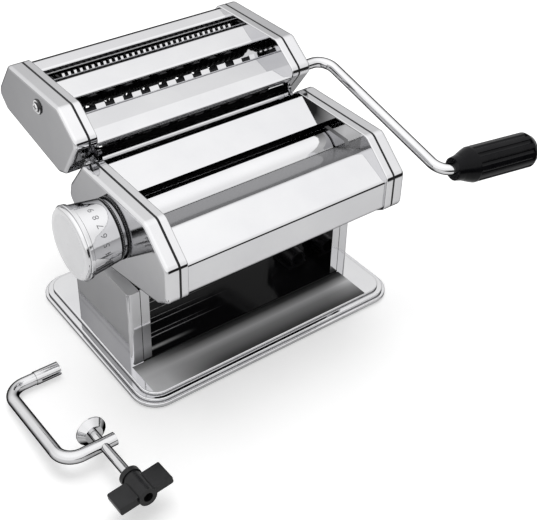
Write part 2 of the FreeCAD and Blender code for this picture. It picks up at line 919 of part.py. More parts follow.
def make_gear(label, y, z, root, tip, bore, turn):
    """Spur gear with straight-sided teeth, turned by part of a tooth."""
    root, tip = size(root), size(tip)
    body = new_body(label)
    near = S.gear_near
    far = near + S.gear_wide
    slab(body, "blank", "YZ_Plane", [(0.0, 0.0, root), (0.0, 0.0, bore)], near, far)
    tooth = [
        (root - 0.5, -root * 0.14), (tip, -tip * 0.036), (tip, tip * 0.036), (root - 0.5, root * 0.14),
    ]
    pad = slab(body, "tooth", "YZ_Plane", [tooth], near, far)
    teeth = body.newObject("PartDesign::PolarPattern", "teeth")
    teeth.Originals = [pad]
    teeth.Axis = (origin_part(body, "X_Axis"), [""])
    teeth.Angle = 360
    teeth.Occurrences = int(S.gear_teeth.value)
    teeth.setExpression("Occurrences", S.gear_teeth.text)
    body.Tip = teeth
    place(body, y=y, z=z, turn=turn)
    node(body, label)


# ------------------------------------------------------------ smooth rollers

def make_roller_tube(label, y):
    """Hollow smooth roller."""
    half = S.roller_half
    profile = [
        (-half, S.roller - S.roller_wall), (-half, S.roller - 0.5), (-half + 0.5, S.roller),
        (half - 0.5, S.roller), (half, S.roller - 0.5), (half, S.roller - S.roller_wall),
    ]
    node(turned(label, profile, y, S.roller_z), label)


def shaft_profile(left_end, right_end, right_radius):
    """A shaft with a disc at each end of the tube that it carries."""
    inner = S.disc_inner
    half = S.roller_half
    disc = S.roller - S.roller_wall
    return [
        (left_end, 0.0), (left_end, S.journal), (-half, S.journal), (-half, disc), (-inner, disc),
        (-inner, S.journal), (inner, S.journal), (inner, disc), (half, disc), (half, right_radius),
        (right_end, right_radius), (right_end, 0.0),
    ]


def cut_crank_socket(body):
    """Blind bore with a cross slot in the end of a drive shaft."""
    cut(body, "crank_bore", "YZ_Plane", [(0.0, 0.0, S.crank_bore)], S.hub_end - S.crank_deep, S.hub_end + 1)
    half = S.crank_slot / 2
    slot = [box_outline(-S.hub - 1, -half, S.hub + 1, half)]
    cut(body, "cross_slot", "YZ_Plane", slot, S.hub_end - S.slot_deep, S.hub_end + 1)


def make_rollers():
    make_roller_tube("front_roller", S.front_roller_y)
    make_roller_tube("rear_roller", S.rear_roller_y)
    front = turned(
        "front_roller_shaft",
        shaft_profile(-S.block_far, S.gear_near + S.gear_wide, S.journal),
        S.front_roller_y, S.roller_z,
    )
    node(front, "front_roller_shaft")
    rear = turned(
        "rear_roller_shaft",
        shaft_profile(-S.block_far, S.hub_end, S.hub),
        S.rear_roller_y, S.roller_z,
    )
    cut_crank_socket(rear)
    node(rear, "rear_roller_shaft")
    half_tooth = size(180) / S.gear_teeth
    make_gear("front_roller_gear", S.front_roller_y, S.roller_z, S.gear_root, S.gear_tip, S.journal, 0.0)
    make_gear("rear_roller_gear", S.rear_roller_y, S.roller_z, S.gear_root, S.gear_tip, S.hub, half_tooth)

    bushes = []
    for name, side, bore in (("left", -1, S.journal), ("right", 1, S.hub)):
        low, high = span(side, S.web - 0.8, S.web + 2.6)
        ring = [
            (low, bore + S.running), (low, S.bush), (high, S.bush), (high, bore + S.running),
        ]
        bushes.append(turned("roller_bush_" + name, ring, S.rear_roller_y, S.roller_z))
    gather("rear_roller_bushes", bushes)


# ----------------------------------------------------------------- carriage

def make_bearing_block(label, side):
    """Sliding block that carries one end of the front roller's shaft."""
    body = new_body(label)
    low, high = span(side, S.block_near, S.block_far)
    plate = box_outline(S.block_front, S.block_low, S.block_rear, S.block_high)
    slab(body, "plate", "YZ_Plane", [plate], low, high)
    bore = [(S.front_roller_y, S.roller_z, S.journal + S.running)]
    cut(body, "journal_bore", "YZ_Plane", bore, low - 1, high + 1)
    if side < 0:
        y, z = S.front_roller_y, S.roller_z
        yoke = box_outline(y - 11, z - 11, y + 11, z + 11)
        slab(body, "yoke", "YZ_Plane", [yoke], -S.cam_outer, -S.block_far)
        slot = box_outline(
            y - S.cam_slot_half, z - S.cam_slot_rise, y + S.cam_slot_half, z + S.cam_slot_rise
        )
        cut(body, "cam_slot", "YZ_Plane", [slot], -S.cam_outer - 1, -S.block_far)
    node(body, label)


def make_carriage_bar():
    """Bar that ties both bearing blocks and scrapes the front roller."""
    body = new_body("carriage_bar")
    y = S.front_roller_y
    z = S.roller_z
    section = [
        (y - 9.5, z - 21.0), (y + 4.5, z - 21.0), (y + 8.6, z - 13.6), (y + 7.8, z - 12.9),
        (y + 3.0, z - 17.0), (y - 9.5, z - 17.0),
    ]
    slab(body, "bar", "YZ_Plane", [section], -S.block_near, S.block_near)
    node(body, "carriage_bar")


# -------------------------------------------------------------------- gauge

def make_gauge():
    """Eccentric spindle, knob, its face, ring and stop pin."""
    spindle = turned(
        "eccentric_shaft",
        [
            (-S.spindle_end, 0.0), (-S.spindle_end, S.head - 1), (-S.spindle_end + 1, S.head),
            (-S.spindle_head, S.head), (-S.spindle_head, S.spindle), (-S.cam_inner, S.spindle),
            (-S.cam_inner, 0.0),
        ],
        S.knob_y, S.roller_z,
    )
    slab(spindle, "eccentric", "YZ_Plane", [(-S.throw, 0.0, S.cam)], -S.cam_outer, -S.cam_inner)
    node(spindle, "eccentric_shaft")

    knob = turned(
        "gauge_knob",
        [
            (-S.knob_near, S.spindle + S.running), (-S.knob_near, S.knob_small - 0.6),
            (-S.knob_near - 0.6, S.knob_small), (-S.knob_step, S.knob_mid),
            (-S.knob_step - 0.6, S.knob_large - 0.3), (-S.knob_rim + 0.5, S.knob_large),
            (-S.knob_rim, S.knob_large - 0.5), (-S.knob_rim, S.knob_cavity), (-S.knob_hub, S.knob_cavity),
            (-S.knob_hub, S.spindle + S.running),
        ],
        S.knob_y, S.roller_z,
    )
    cut(knob, "pin_hole", "YZ_Plane", [(S.track, 0.0, S.stop_pin)], -S.knob_hub - 1, -S.knob_near + 1)
    node(knob, "gauge_knob")

    face = turned(
        "knob_face",
        [
            (-S.knob_face - 0.6, 0.0), (-S.knob_face, S.knob_cavity + 1), (-S.knob_face + 0.3, S.knob_seat),
            (-S.knob_rim, S.knob_seat), (-S.knob_rim, 0.0),
        ],
        S.knob_y, S.roller_z,
    )
    front = -S.knob_face.value + 0.3
    fillet(
        face, "rim_round", face.Tip, S.knob_round,
        lambda box: abs(box.XMin - front) < 0.01 and box.XLength < 0.01,
    )
    node(face, "knob_face")

    ring = turned(
        "knob_ring",
        [
            (-S.ring_far, S.ring_inner), (-S.ring_far, S.ring_outer), (-S.ring_near, S.ring_outer),
            (-S.ring_near, S.ring_inner),
        ],
        S.knob_y, S.roller_z,
    )
    node(ring, "knob_ring")

    pin = new_body("knob_pin")
    slab(pin, "pin", "YZ_Plane", [(S.track, 0.0, S.stop_pin)], -S.knob_hub, -S.boss_face + S.track_deep - 0.3)
    place(pin, y=S.knob_y, z=S.roller_z)
    node(pin, "knob_pin")


# --------------------------------------------------------------------- rods

def make_rod(name, corner, rod_half, end_half, thread=None):
    """Spacer rod with a nut at each threaded end."""
    y, z = outline([corner])[0]
    thread = thread or S.rod_end
    profile = [
        (-end_half, 0.0), (-end_half, thread), (-rod_half, thread), (-rod_half, S.rod),
        (rod_half, S.rod), (rod_half, thread), (end_half, thread), (end_half, 0.0),
    ]
    return turned(name, profile, y, z)


def make_nuts(name, corner, seat, across=None, thread=None):
    """Hexagon nuts on both ends of a rod."""
    across = across or S.nut
    thread = thread or S.rod_end
    seat = size(seat)
    y, z = outline([corner])[0]
    nuts = []
    for side_name, side in (("left", -1), ("right", 1)):
        body = new_body("%s_%s" % (name, side_name))
        low, high = span(side, seat, seat + S.nut_thick)
        hexagon = [
            (across * math.cos(math.radians(60 * i)), across * math.sin(math.radians(60 * i)))
            for i in range(6)
        ]
        slab(body, "nut", "YZ_Plane", [hexagon, (0.0, 0.0, thread)], low, high)
        place(body, y=y, z=z)
        nuts.append(body)
    return nuts


def make_bolts(name, corner, seat, end):
    """Short bolt through each side, its head inside against the seat."""
    seat, end = size(seat), size(end)
    y, z = outline([corner])[0]
    bolts = []
    for side_name, side in (("left", -1), ("right", 1)):
        head, flat, tip = (seat - S.bolt_head) * side, seat * side, end * side
        profile = [
            (head, 0.0), (head, S.nut - 0.6), (flat, S.nut - 0.6), (flat, S.rod_end),
            (tip, S.rod_end), (tip, 0.0),
        ]
        bolts.append(turned("%s_%s" % (name, side_name), profile, y, z))
    return bolts


def make_body_rods():
    inside = S.web
    outside = S.web + S.pan_wall
    leg = S.stand_web + S.stand_sheet
    rods = [
        make_rod("nose_rod", "rod_nose", inside, outside + 4.2),
        make_rod("belly_rod", "rod_belly", inside, outside + 4.2),
        make_rod("hook_rod", "rod_hook", inside + 0.4, outside + 4.6, S.hook_thread),
    ]
    for end, seat in (("front", leg), ("rear", S.stand_web)):
        rods += make_bolts("stand_bolt_" + end, "bolt_" + end, seat, leg + S.leg_thick + S.nut_thick + 0.8)
    gather("body_tie_rods", rods)
    nuts = make_nuts("nose_nut", "rod_nose", outside)
    nuts += make_nuts("belly_nut", "rod_belly", outside)
    nuts += make_nuts("hook_nut", "rod_hook", outside + 0.4, S.hook_nut, S.hook_thread)
    nuts += make_nuts("stand_front_nut", "bolt_front", leg + S.leg_thick)
    nuts += make_nuts("stand_rear_nut", "bolt_rear", leg + S.leg_thick)
    gather("body_nuts", nuts)


# -------------------------------------------------------------- cutter head

def make_cutter_plate(label, side):
    """Side plate of the cutter head with the hook that hangs on the body."""
    low, high = span(side, S.web, S.rim)
    body = pressed_pan(label, HEAD_OUTLINE, low, high, side * S.rim.value, S.pan_wall, S.plate_round)
    hook = outline([
        "hook_nose", "hook_chin", "hook_leg_front", "hook_leg_rear", "hook_back", "hook_top", "hook_brow",
    ])
    low, high = span(side, S.hook_near, S.web)
    slab(body, "hook", "YZ_Plane", [hook], low, high)
    y, z = S.rod_hook_y, S.rod_hook_z
    low, high = span(side, S.hook_near - 1, S.rim + 1)
    cut(body, "hook_seat", "YZ_Plane", [(y, z, S.hook_slot)], low, high)
    mouth = [box_outline(y - S.hook_slot, z - 14, y + S.hook_slot, z)]
    cut(body, "hook_mouth", "YZ_Plane", mouth, low, high)
    bearing = S.cutter_journal + S.running
    driven = S.hub + S.running if side > 0 else bearing
    holes = [
        (S.wide_drive_y, S.wide_drive_z, driven), (S.wide_mate_y, S.wide_mate_z, bearing),
        (S.narrow_drive_y, S.narrow_drive_z, driven), (S.narrow_mate_y, S.narrow_mate_z, bearing),
    ]
    screw = "cap_screw_left" if side < 0 else "cap_screw_right"
    rods = outline(["rod_head_keel", "rod_head_rear", screw])
    holes += [(rod_y, rod_z, S.rod_end) for rod_y, rod_z in rods]
    cut(body, "shaft_holes", "YZ_Plane", holes, low, high)
    node(body, label)


def make_cap_screws():
    """Screw with a washer head in the middle of each cutter end cap."""
    screws = []
    for name, side in (("left", -1), ("right", 1)):
        y, z = outline(["cap_screw_" + name])[0]
        x = [S.web, S.head_face, S.head_face + 0.9, S.head_face + 2.2]
        profile = [
            (x[0] * side, 0.0), (x[0] * side, S.rod_end), (x[1] * side, S.rod_end),
            (x[1] * side, S.washer), (x[2] * side, S.washer - 0.3), (x[2] * side, S.rod),
            (x[3] * side, S.rod - 0.8), (x[3] * side, 0.0),
        ]
        screws.append(turned("cap_screw_" + name, profile, y, z))
    gather("cap_screws", screws)


def make_cutter_roller(label, corner, pitch, ridge, count, drive):
    """Ringed cutter roller; its ridges run in the mate's grooves."""
    y, z = outline([corner])[0]
    half = S.cutter_half
    journal = S.cutter_journal
    left = -S.rim
    right = S.hub_end if drive else S.gear_near + S.gear_wide
    right_radius = S.hub if drive else journal
    turn = S.crank_angle if drive else None
    body = turned(
        label,
        [
            (left, 0.0), (left, journal), (-half, journal), (-half, S.groove), (half, S.groove),
            (half, right_radius), (right, right_radius), (right, 0.0),
        ],
        y, z, turn,
    )
    start = -pitch * (count - 1) / 2 - ridge / 2
    pad = slab(body, "ridge", "YZ_Plane", [(0.0, 0.0, S.cutter)], start, start + ridge)
    rings = body.newObject("PartDesign::LinearPattern", "ridges")
    rings.Originals = [pad]
    rings.Direction = (origin_part(body, "X_Axis"), [""])
    bind(rings, "Length", pitch * (count - 1))
    rings.Occurrences = count
    body.Tip = rings
    doc.recompute()
    if drive:
        cut_crank_socket(body)
    node(body, label)


def make_comb(name, corner, lean, pitch, finger, count, foot_top=11.4, foot_low=13.4):
    """Strip with fingers that lift the dough out of one roller's grooves."""
    y, z = outline([corner])[0]
    body = new_body(name)
    foot = [
        (y + lean, z - foot_low), (y + lean + 3.0, z - foot_low),
        (y + lean + 3.0, z - foot_top), (y + lean, z - foot_top),
    ]
    slab(body, "strip", "YZ_Plane", [foot], -S.web, S.web)
    start = -pitch * (count - 1) / 2 - finger / 2
    tooth = [
        (y + lean + 0.6, z - 12.4), (y + lean + 2.4, z - 12.4),
        (y + lean + 2.0, z - 7.9), (y + lean + 1.0, z - 7.9),
    ]
    pad = slab(body, "finger", "YZ_Plane", [tooth], start, start + finger)
    fingers = body.newObject("PartDesign::LinearPattern", "fingers")
    fingers.Originals = [pad]
    fingers.Direction = (origin_part(body, "X_Axis"), [""])
    bind(fingers, "Length", pitch * (count - 1))
    fingers.Occurrences = count
    body.Tip = fingers
    doc.recompute()
    return body


def make_slot_guide(name, corner, gap, pitch, tooth, start, count, reach):
    """Castellated strip behind a cover's rear edge; its teeth lean up over the slot."""
    y, z = outline([corner])[0]
    y = y + gap
    far = y + S.guide_sheet
    body = new_body(name)
    strip = [(y, z - 1.4), (far, z - 1.4), (far, z - 0.6), (y, z - 0.2)]
    slab(body, "strip", "YZ_Plane", [strip], -S.web, S.web)
    lean = [(y, z - 0.9), (y + 0.4, z - 1.0), (y + reach + 0.4, z - 1.0 + reach), (y + reach, z - 0.3 + reach)]
    pad = slab(body, "tooth", "YZ_Plane", [lean], start - tooth / 2, start + tooth / 2)
    teeth = body.newObject("PartDesign::LinearPattern", "teeth")
    teeth.Originals = [pad]
    teeth.Direction = (origin_part(body, "X_Axis"), [""])
    bind(teeth, "Length", pitch * (count - 1))
    teeth.Occurrences = count
    body.Tip = teeth
    doc.recompute()
    return body


def make_cutter_head():
    make_cutter_plate("cutter_plate_left", -1)
    make_cutter_plate("cutter_plate_right", 1)
    left = make_end_cap(
        "cutter_cap_left", HEAD_OUTLINE, -1, S.head_face, [], outline(["cap_screw_left"])
    )
    node(left, "cutter_cap_left")
    drives = outline(["wide_drive", "narrow_drive"])
    right = make_end_cap(
        "cutter_cap_right", HEAD_OUTLINE, 1, S.head_face, drives, outline(["cap_screw_right"])
    )
    node(right, "cutter_cap_right")
    make_gaskets("cutter_gaskets", HEAD_OUTLINE)
    make_cap_screws()
    folded_sheet(
        "cutter_cover_rear",
        ["rear_lip", "rear_edge", "rear_ridge", "rear_shoulder", "rear_wall", "rear_turn", "rear_hem"],
    )
    folded_sheet(
        "cutter_cover_middle",
        ["middle_rear_lip", "middle_rear", "middle_front", "middle_front_lip"],
    )
    folded_sheet(
        "cutter_cover_front",
        ["front_lip", "front_edge", "front_crease", "front_brow", "front_hem"],
    )
    wide, narrow = S.wide_pitch, S.narrow_pitch
    make_cutter_roller("wide_roller_front", "wide_drive", wide, S.wide_ridge, 10, True)
    make_cutter_roller("wide_roller_rear", "wide_mate", wide, S.wide_ridge, 9, False)
    make_cutter_roller("narrow_roller_front", "narrow_drive", narrow, S.narrow_ridge, 32, True)
    make_cutter_roller("narrow_roller_rear", "narrow_mate", narrow, S.narrow_ridge, 33, False)
    half_tooth = size(180) / S.gear_teeth
    tip, root = S.cutter_tip, S.cutter_root
    rise = S.wide_mate_z.value - S.wide_drive_z.value
    lean = math.degrees(math.atan2(rise, S.wide_mate_y.value - S.wide_drive_y.value))
    make_gear("wide_gear_front", S.wide_drive_y, S.wide_drive_z, root, tip, S.hub, lean)
    make_gear("wide_gear_rear", S.wide_mate_y, S.wide_mate_z, root, tip, S.cutter_journal, half_tooth + lean)
    make_gear("narrow_gear_front", S.narrow_drive_y, S.narrow_drive_z, root, tip, S.hub, 0.0)
    make_gear("narrow_gear_rear", S.narrow_mate_y, S.narrow_mate_z, root, tip, S.cutter_journal, half_tooth)
    combs = [
        make_comb("wide_comb_front", "wide_drive", -3.0, wide, S.comb_wide, 9, S.comb_top, S.comb_low),
        make_comb("wide_comb_rear", "wide_mate", -1.0, wide, S.comb_wide, 8),
        make_comb("narrow_comb_front", "narrow_drive", -3.0, narrow, S.comb_narrow, 31),
        make_comb("narrow_comb_rear", "narrow_mate", -1.0, narrow, S.comb_narrow, 32),
    ]
    gather("strip_combs", combs)
    guides = [
        make_slot_guide(
            "wide_guide", "front_edge", S.guide_wide_gap, wide, S.guide_wide, S.guide_wide_start, 10, 2.4
        ),
        make_slot_guide(
            "narrow_guide", "middle_rear", S.guide_narrow_gap, narrow, S.guide_narrow, S.guide_narrow_start, 31, 1.7
        ),
    ]
    gather("slot_guides", guides)
    outside = S.web + S.pan_wall
    rods = [
        make_rod("head_keel_rod", "rod_head_keel", S.web, outside + 3.4),
        make_rod("head_rear_rod", "rod_head_rear", S.web, outside + 3.4),
    ]
    gather("cutter_tie_rods", rods)


# -------------------------------------------------------------------- crank

def bent_rod(body, name, corners, radius, bend, start_plane):
    """Round bar along straight runs with rounded corners, in the XY plane."""
    path = new_sketch(body, name + "_path", "XY_Plane")
    spots = [(size(u), size(v)) for u, v in corners]
    for (u, v), (next_u, next_v) in zip(spots, spots[1:]):
        line = Part.LineSegment(V(u.value, v.value, 0), V(next_u.value, next_v.value, 0))
        path.addGeometry(line, False)
    runs = len(spots) - 1
    for index, (u, v) in enumerate(spots[:-1]):
        hold(path, "DistanceX", index, 1, u)
        hold(path, "DistanceY", index, 1, v)
    hold(path, "DistanceX", runs - 1, 2, spots[-1][0])
    hold(path, "DistanceY", runs - 1, 2, spots[-1][1])
    for index in range(runs - 1):
        path.addConstraint(Sketcher.Constraint("Coincident", index, 2, index + 1, 1))
    for index in range(runs - 1):
        path.fillet(index, 2, size(bend).value, True, True)
    section = new_sketch(body, name + "_section", start_plane[0], start_plane[1])
    circle(section, start_plane[2], 0.0, radius)
    pipe = body.newObject("PartDesign::AdditivePipe", name)
    pipe.Profile = section
    pipe.Spine = (path, [])
    doc.recompute()
    return pipe


def make_crank():
    """Bent crank rod and its free-turning grip."""
    tilt = math.radians(S.grip_tilt.value)
    corner = (S.crank_turn + 1.2, S.crank_reach)
    tip = (corner[0] + S.grip_rod * math.cos(tilt), corner[1] + S.grip_rod * math.sin(tilt))
    rod = new_body("crank_rod")
    bent_rod(
        rod, "bar", [(S.crank_start, 0.0), (S.crank_turn, 0.0), corner, tip],
        S.crank_rod, S.crank_bend, ("YZ_Plane", S.crank_start, 0.0),
    )
    pin_x = S.hub_end - S.slot_deep + S.cross_pin + 0.2
    reach = S.hub - 0.2
    slab(rod, "cross_pin", "XZ_Plane", [(pin_x, 0.0, S.cross_pin)], -reach, reach)
    place(rod, y=S.wide_drive_y, z=S.wide_drive_z, turn=S.crank_angle)
    node(rod, "crank_rod")

    grip = turned(
        "crank_grip",
        [
            (S.grip_near, S.grip_bore), (S.grip_near, S.grip_nose), (S.grip_near + 5, S.grip_nose + 1.0),
            (S.grip_near + 11, S.grip_body - 1.0), (S.grip_near + 14, S.grip_body),
            (S.grip_far - 6, S.grip_body), (S.grip_far - 2.5, S.grip_body - 2.2),
            (S.grip_far, S.grip_body - 6.6), (S.grip_far, 0.0), (S.grip_rod + 1, 0.0),
            (S.grip_rod + 1, S.grip_bore),
        ],
    )
    flute = cut_flute(grip)
    flutes = grip.newObject("PartDesign::PolarPattern", "flutes")
    flutes.Originals = [flute]
    flutes.Axis = (origin_part(grip, "X_Axis"), [""])
    flutes.Angle = 360
    flutes.Occurrences = 12
    grip.Tip = flutes
    turn = math.radians(S.crank_angle.value)
    arm = V(0, math.cos(turn), math.sin(turn))
    axis = V(math.cos(tilt), 0, 0) + arm * math.sin(tilt)
    corner_at = V(corner[0].value, S.wide_drive_y.value, S.wide_drive_z.value) + arm * S.crank_reach.value
    grip.Placement = FreeCAD.Placement(corner_at, FreeCAD.Rotation(V(1, 0, 0), axis))
    doc.recompute()
    node(grip, "crank_grip")
    print("grip axis", [round(c, 6) for c in axis], "through", [round(c, 4) for c in corner_at])


def cut_flute(body):
    """One finger groove along the grip."""
    centre = S.grip_body + 1.3
    return cut(body, "flute", "YZ_Plane", [(centre, 0.0, 2.2)], S.grip_near + 15, S.grip_far - 7)


# -------------------------------------------------------------------- clamp

def lay_clamp(obj):
    """Place a clamp piece: the clamp lies on its side beside the machine."""
    place(obj, y=S.clamp_y, z=S.clamp_z, turn=S.clamp_tilt)


def make_clamp():
    """Bent clamp frame, screw, pad and wing knob, in the frame's plane."""
    frame = new_body("clamp_frame")
    bent_rod(
        frame, "bar",
        [
            (S.clamp_tip, 0.0), (S.clamp_back, 0.0), (S.clamp_back, -S.clamp_drop),
            (S.clamp_low_tip, -S.clamp_drop),
        ],
        S.clamp_rod, S.clamp_bend, ("YZ_Plane", S.clamp_tip, 0.0),
    )
    slab(frame, "sleeve", "YZ_Plane", [(0.0, 0.0, S.sleeve)], S.sleeve_start, S.clamp_tip)
    half = S.sleeve_slot / 2
    slit = [box_outline(-S.sleeve - 1, -half, S.sleeve + 1, half)]
    cut(frame, "slit", "YZ_Plane", slit, S.sleeve_start + 3, S.clamp_tip + 1)
    cut(
        frame, "screw_hole", "XZ_Plane", [(S.screw_x, 0.0, S.screw_hole)],
        -S.clamp_drop - S.clamp_rod - 1, -S.clamp_drop + S.clamp_rod + 1,
    )
    lay_clamp(frame)
    node(frame, "clamp_frame")

    screw = new_body("clamp_screw")
    pad_back = S.pad_front - S.pad_deep
    slab(screw, "thread", "XZ_Plane", [(S.screw_x, 0.0, S.screw)], S.wing_far + 8, pad_back - 0.2)
    slab(screw, "tip", "XZ_Plane", [(S.screw_x, 0.0, S.screw - 1.0)], pad_back - 0.4, S.pad_front - 1.6)
    lay_clamp(screw)
    node(screw, "clamp_screw")

    make_clamp_pad(pad_back)
    make_wing_knob()


def make_clamp_pad(pad_back):
    """Dished pad that swivels on the screw's tip; its open side faces the table."""
    pad = new_body("clamp_pad")
    sketch = new_sketch(pad, "dish_profile", "XY_Plane")
    x = S.screw_x
    hole = S.screw - 0.9
    polygon(sketch, [
        (x + hole, pad_back), (x + S.pad_rim * 0.6, pad_back), (x + S.pad_rim, S.pad_front - 0.8),
        (x + S.pad_rim, S.pad_front), (x + S.pad_rim - 1.2, S.pad_front),
        (x + S.pad_rim * 0.55, pad_back + S.pad_wall), (x + hole, pad_back + S.pad_wall),
    ])
    axis = Part.LineSegment(V(x.value, pad_back.value, 0), V(x.value, S.pad_front.value, 0))
    sketch.addGeometry(axis, True)
    dish = pad.newObject("PartDesign::Revolution", "dish")
    dish.Profile = sketch
    dish.ReferenceAxis = (sketch, ["Axis0"])
    dish.Angle = 360
    doc.recompute()
    lay_clamp(pad)
    node(pad, "clamp_pad")


def make_wing_knob():
    """Moulded wing knob on the end of the clamp's screw."""
    knob = new_body("clamp_wing_knob")
    x = S.screw_x
    far, near = S.wing_far, S.wing_near
    slab(knob, "hub", "XZ_Plane", [(x, 0.0, S.wing_hub)], far, near)
    slab(knob, "collar", "XZ_Plane", [(x, 0.0, S.wing_collar)], near - S.wing_collar_long, near)
    roll = math.radians(S.wing_roll.value)
    corners = []
    for along, across in ((-1, -1), (1, -1), (1, 1), (-1, 1)):
        u = S.wing_span * along
        v = S.wing_thick / 2 * across
        corners.append((x + u * math.cos(roll) - v * math.sin(roll), u * math.sin(roll) + v * math.cos(roll)))
    wings = slab(knob, "wings", "XZ_Plane", [corners], far + 1.5, near - S.wing_collar_long - 2.1)
    fillet(
        knob, "wing_edges", wings, S.wing_round,
        lambda box: box.YLength > 10 and box.XLength < 0.01 and box.ZLength < 0.01
        and abs((box.XMin - x.value) * math.cos(roll) + box.ZMin * math.sin(roll)) > S.wing_span.value - 0.1,
    )
    cut(knob, "screw_bore", "XZ_Plane", [(x, 0.0, S.screw)], far - 1, near + 1)
    lay_clamp(knob)
    node(knob, "clamp_wing_knob")


# -------------------------------------------------------------------- build

def make_machine():
    fill_sheet()
    make_base()
    make_stand_side("stand_side_left", -1)
    make_stand_side("stand_side_right", 1)
    make_stand_cradle()
    make_clamp_socket()
    make_side_plate("side_plate_left", -1)
    make_side_plate("side_plate_right", 1)
    left = make_end_cap("end_cap_left", BODY_OUTLINE, -1, S.cap_face, [], [])
    make_gauge_boss(left)
    node(left, "end_cap_left")
    rear_drive = [(S.rear_roller_y, S.roller_z)]
    right = make_end_cap("end_cap_right", BODY_OUTLINE, 1, S.cap_face, rear_drive, [])
    node(right, "end_cap_right")
    make_gaskets("body_gaskets", BODY_OUTLINE)
    make_body_rods()
    folded_sheet("hopper_plate", ["hopper_back", "hopper_ridge", "hopper_edge"], S.hopper_sheet)
    folded_sheet(
        "front_fender",
        ["fender_low", "fender_ridge", "fender_brow", "fender_hem", "fender_lip"],
        bend=S.fender_bend,
    )
    folded_sheet("rear_wall", ["wall_top", "wall_high", "wall_mid", "wall_low"])
    make_cheeks()
    make_rear_scraper()
    make_rollers()
    make_bearing_block("bearing_block_left", -1)
    make_bearing_block("bearing_block_right", 1)
    make_carriage_bar()
    make_gauge()
    make_cutter_head()
    make_crank()
    make_clamp()
    doc.recompute()


def check_objects():
    """Stop on any failed object or any piece without a sound shape."""
    for obj in doc.Objects:
        if "Invalid" in obj.State or "Error" in obj.State:
            raise RuntimeError("%s is %s" % (obj.Name, obj.State))
    labels = [obj.Label for obj in nodes]
    if len(set(labels)) != len(labels) or len(labels) > 60:
        raise RuntimeError("labels repeat, or there are too many pieces")
    for obj in nodes:
        if obj.Shape.isNull() or not obj.Shape.isValid() or not obj.Shape.Solids:
            raise RuntimeError("%s has no sound shape" % obj.Label)


def write_pieces():
    os.makedirs("parts", exist_ok=True)
    for obj in nodes:
        obj.Shape.exportStep("parts/%s.step" % obj.Label)
        box = obj.Shape.BoundBox
        print("%-22s solids %2d  volume %9.1f  X %7.1f %7.1f  Y %7.1f %7.1f  Z %6.1f %6.1f" % (
            obj.Label, len(obj.Shape.Solids), obj.Shape.Volume,
            box.XMin, box.XMax, box.YMin, box.YMax, box.ZMin, box.ZMax,
        ))
    print(len(nodes), "nodes")


make_machine()
check_objects()
write_pieces()
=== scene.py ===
"""Looks for the hand cranked pasta machine: finishes, the knob's numbers, floor, light and camera."""
import json
import math

import bpy
from mathutils import Euler, Matrix, Vector


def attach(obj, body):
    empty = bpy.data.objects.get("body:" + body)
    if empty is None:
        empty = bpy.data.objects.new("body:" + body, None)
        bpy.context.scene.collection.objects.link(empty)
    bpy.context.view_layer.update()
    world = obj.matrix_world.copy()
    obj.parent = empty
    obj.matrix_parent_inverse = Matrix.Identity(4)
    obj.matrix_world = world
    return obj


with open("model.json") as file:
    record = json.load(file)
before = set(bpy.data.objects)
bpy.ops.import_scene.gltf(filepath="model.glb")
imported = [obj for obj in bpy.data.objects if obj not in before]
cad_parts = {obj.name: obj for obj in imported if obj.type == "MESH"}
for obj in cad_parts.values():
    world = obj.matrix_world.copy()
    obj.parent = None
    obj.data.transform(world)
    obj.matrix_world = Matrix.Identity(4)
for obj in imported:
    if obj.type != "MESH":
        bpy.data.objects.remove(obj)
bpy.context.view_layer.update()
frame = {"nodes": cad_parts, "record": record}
NODES = frame["nodes"]
SLOT_OF = {row["node"]: row["material_slot"] for row in frame["record"]["subparts"]}
MM = 0.001

# --------------------------------------------------------------- shader nodes


def feed(tree, value, socket):
    """Link another node's socket to this one, or set a plain value on it."""
    if isinstance(value, bpy.types.NodeSocket):
        tree.links.new(value, socket)
    else:
        socket.default_value = value


def math_node(tree, operation, *values):
    node = tree.nodes.new("ShaderNodeMath")
    node.operation = operation
    for value, socket in zip(values, node.inputs):
        feed(tree, value, socket)
    return node.outputs[0]


def times(tree, first, *others):
    """Product of values, or the place that lies in all of some masks."""
    for other in others:
        first = math_node(tree, "MULTIPLY", first, other)
    return first


def plus(tree, first, *others):
    for other in others:
        first = math_node(tree, "ADD", first, other)
    return first


def minus(tree, first, second):
    return math_node(tree, "SUBTRACT", first, second)


def above(tree, value, limit):
    """White where a value in metres is over a limit in millimetres."""
    return math_node(tree, "GREATER_THAN", value, limit * MM)


def below(tree, value, limit):
    """White where a value in metres is under a limit in millimetres."""
    return math_node(tree, "LESS_THAN", value, limit * MM)


def within(tree, value, low, high):
    """White where a value in metres lies between two limits in millimetres."""
    return times(tree, above(tree, value, low), below(tree, value, high))


def ramp(tree, value, low, high, to_low=0.0, to_high=1.0, smooth=False):
    node = tree.nodes.new("ShaderNodeMapRange")
    if smooth:
        node.interpolation_type = "SMOOTHSTEP"
    feed(tree, value, node.inputs["Value"])
    for name, limit in (("From Min", low), ("From Max", high), ("To Min", to_low), ("To Max", to_high)):
        node.inputs[name].default_value = limit
    return node.outputs["Result"]


def smooth_ramp(tree, value, low, high):
    return ramp(tree, value, low, high, smooth=True)


def metres(limits):
    return [limit * MM for limit in limits]


def noise_node(tree, vector, scale, detail, roughness=0.5):
    node = tree.nodes.new("ShaderNodeTexNoise")
    given = (("Vector", vector), ("Scale", scale), ("Detail", detail), ("Roughness", roughness))
    for name, value in given:
        feed(tree, value, node.inputs[name])
    return node.outputs["Fac"]


def mix_values(tree, mask, first, second):
    """The second value where the mask is white, the first elsewhere."""
    mix = tree.nodes.new("ShaderNodeMix")
    for name, value in (("Factor", mask), ("A", first), ("B", second)):
        feed(tree, value, mix.inputs[name])
    return mix.outputs["Result"]


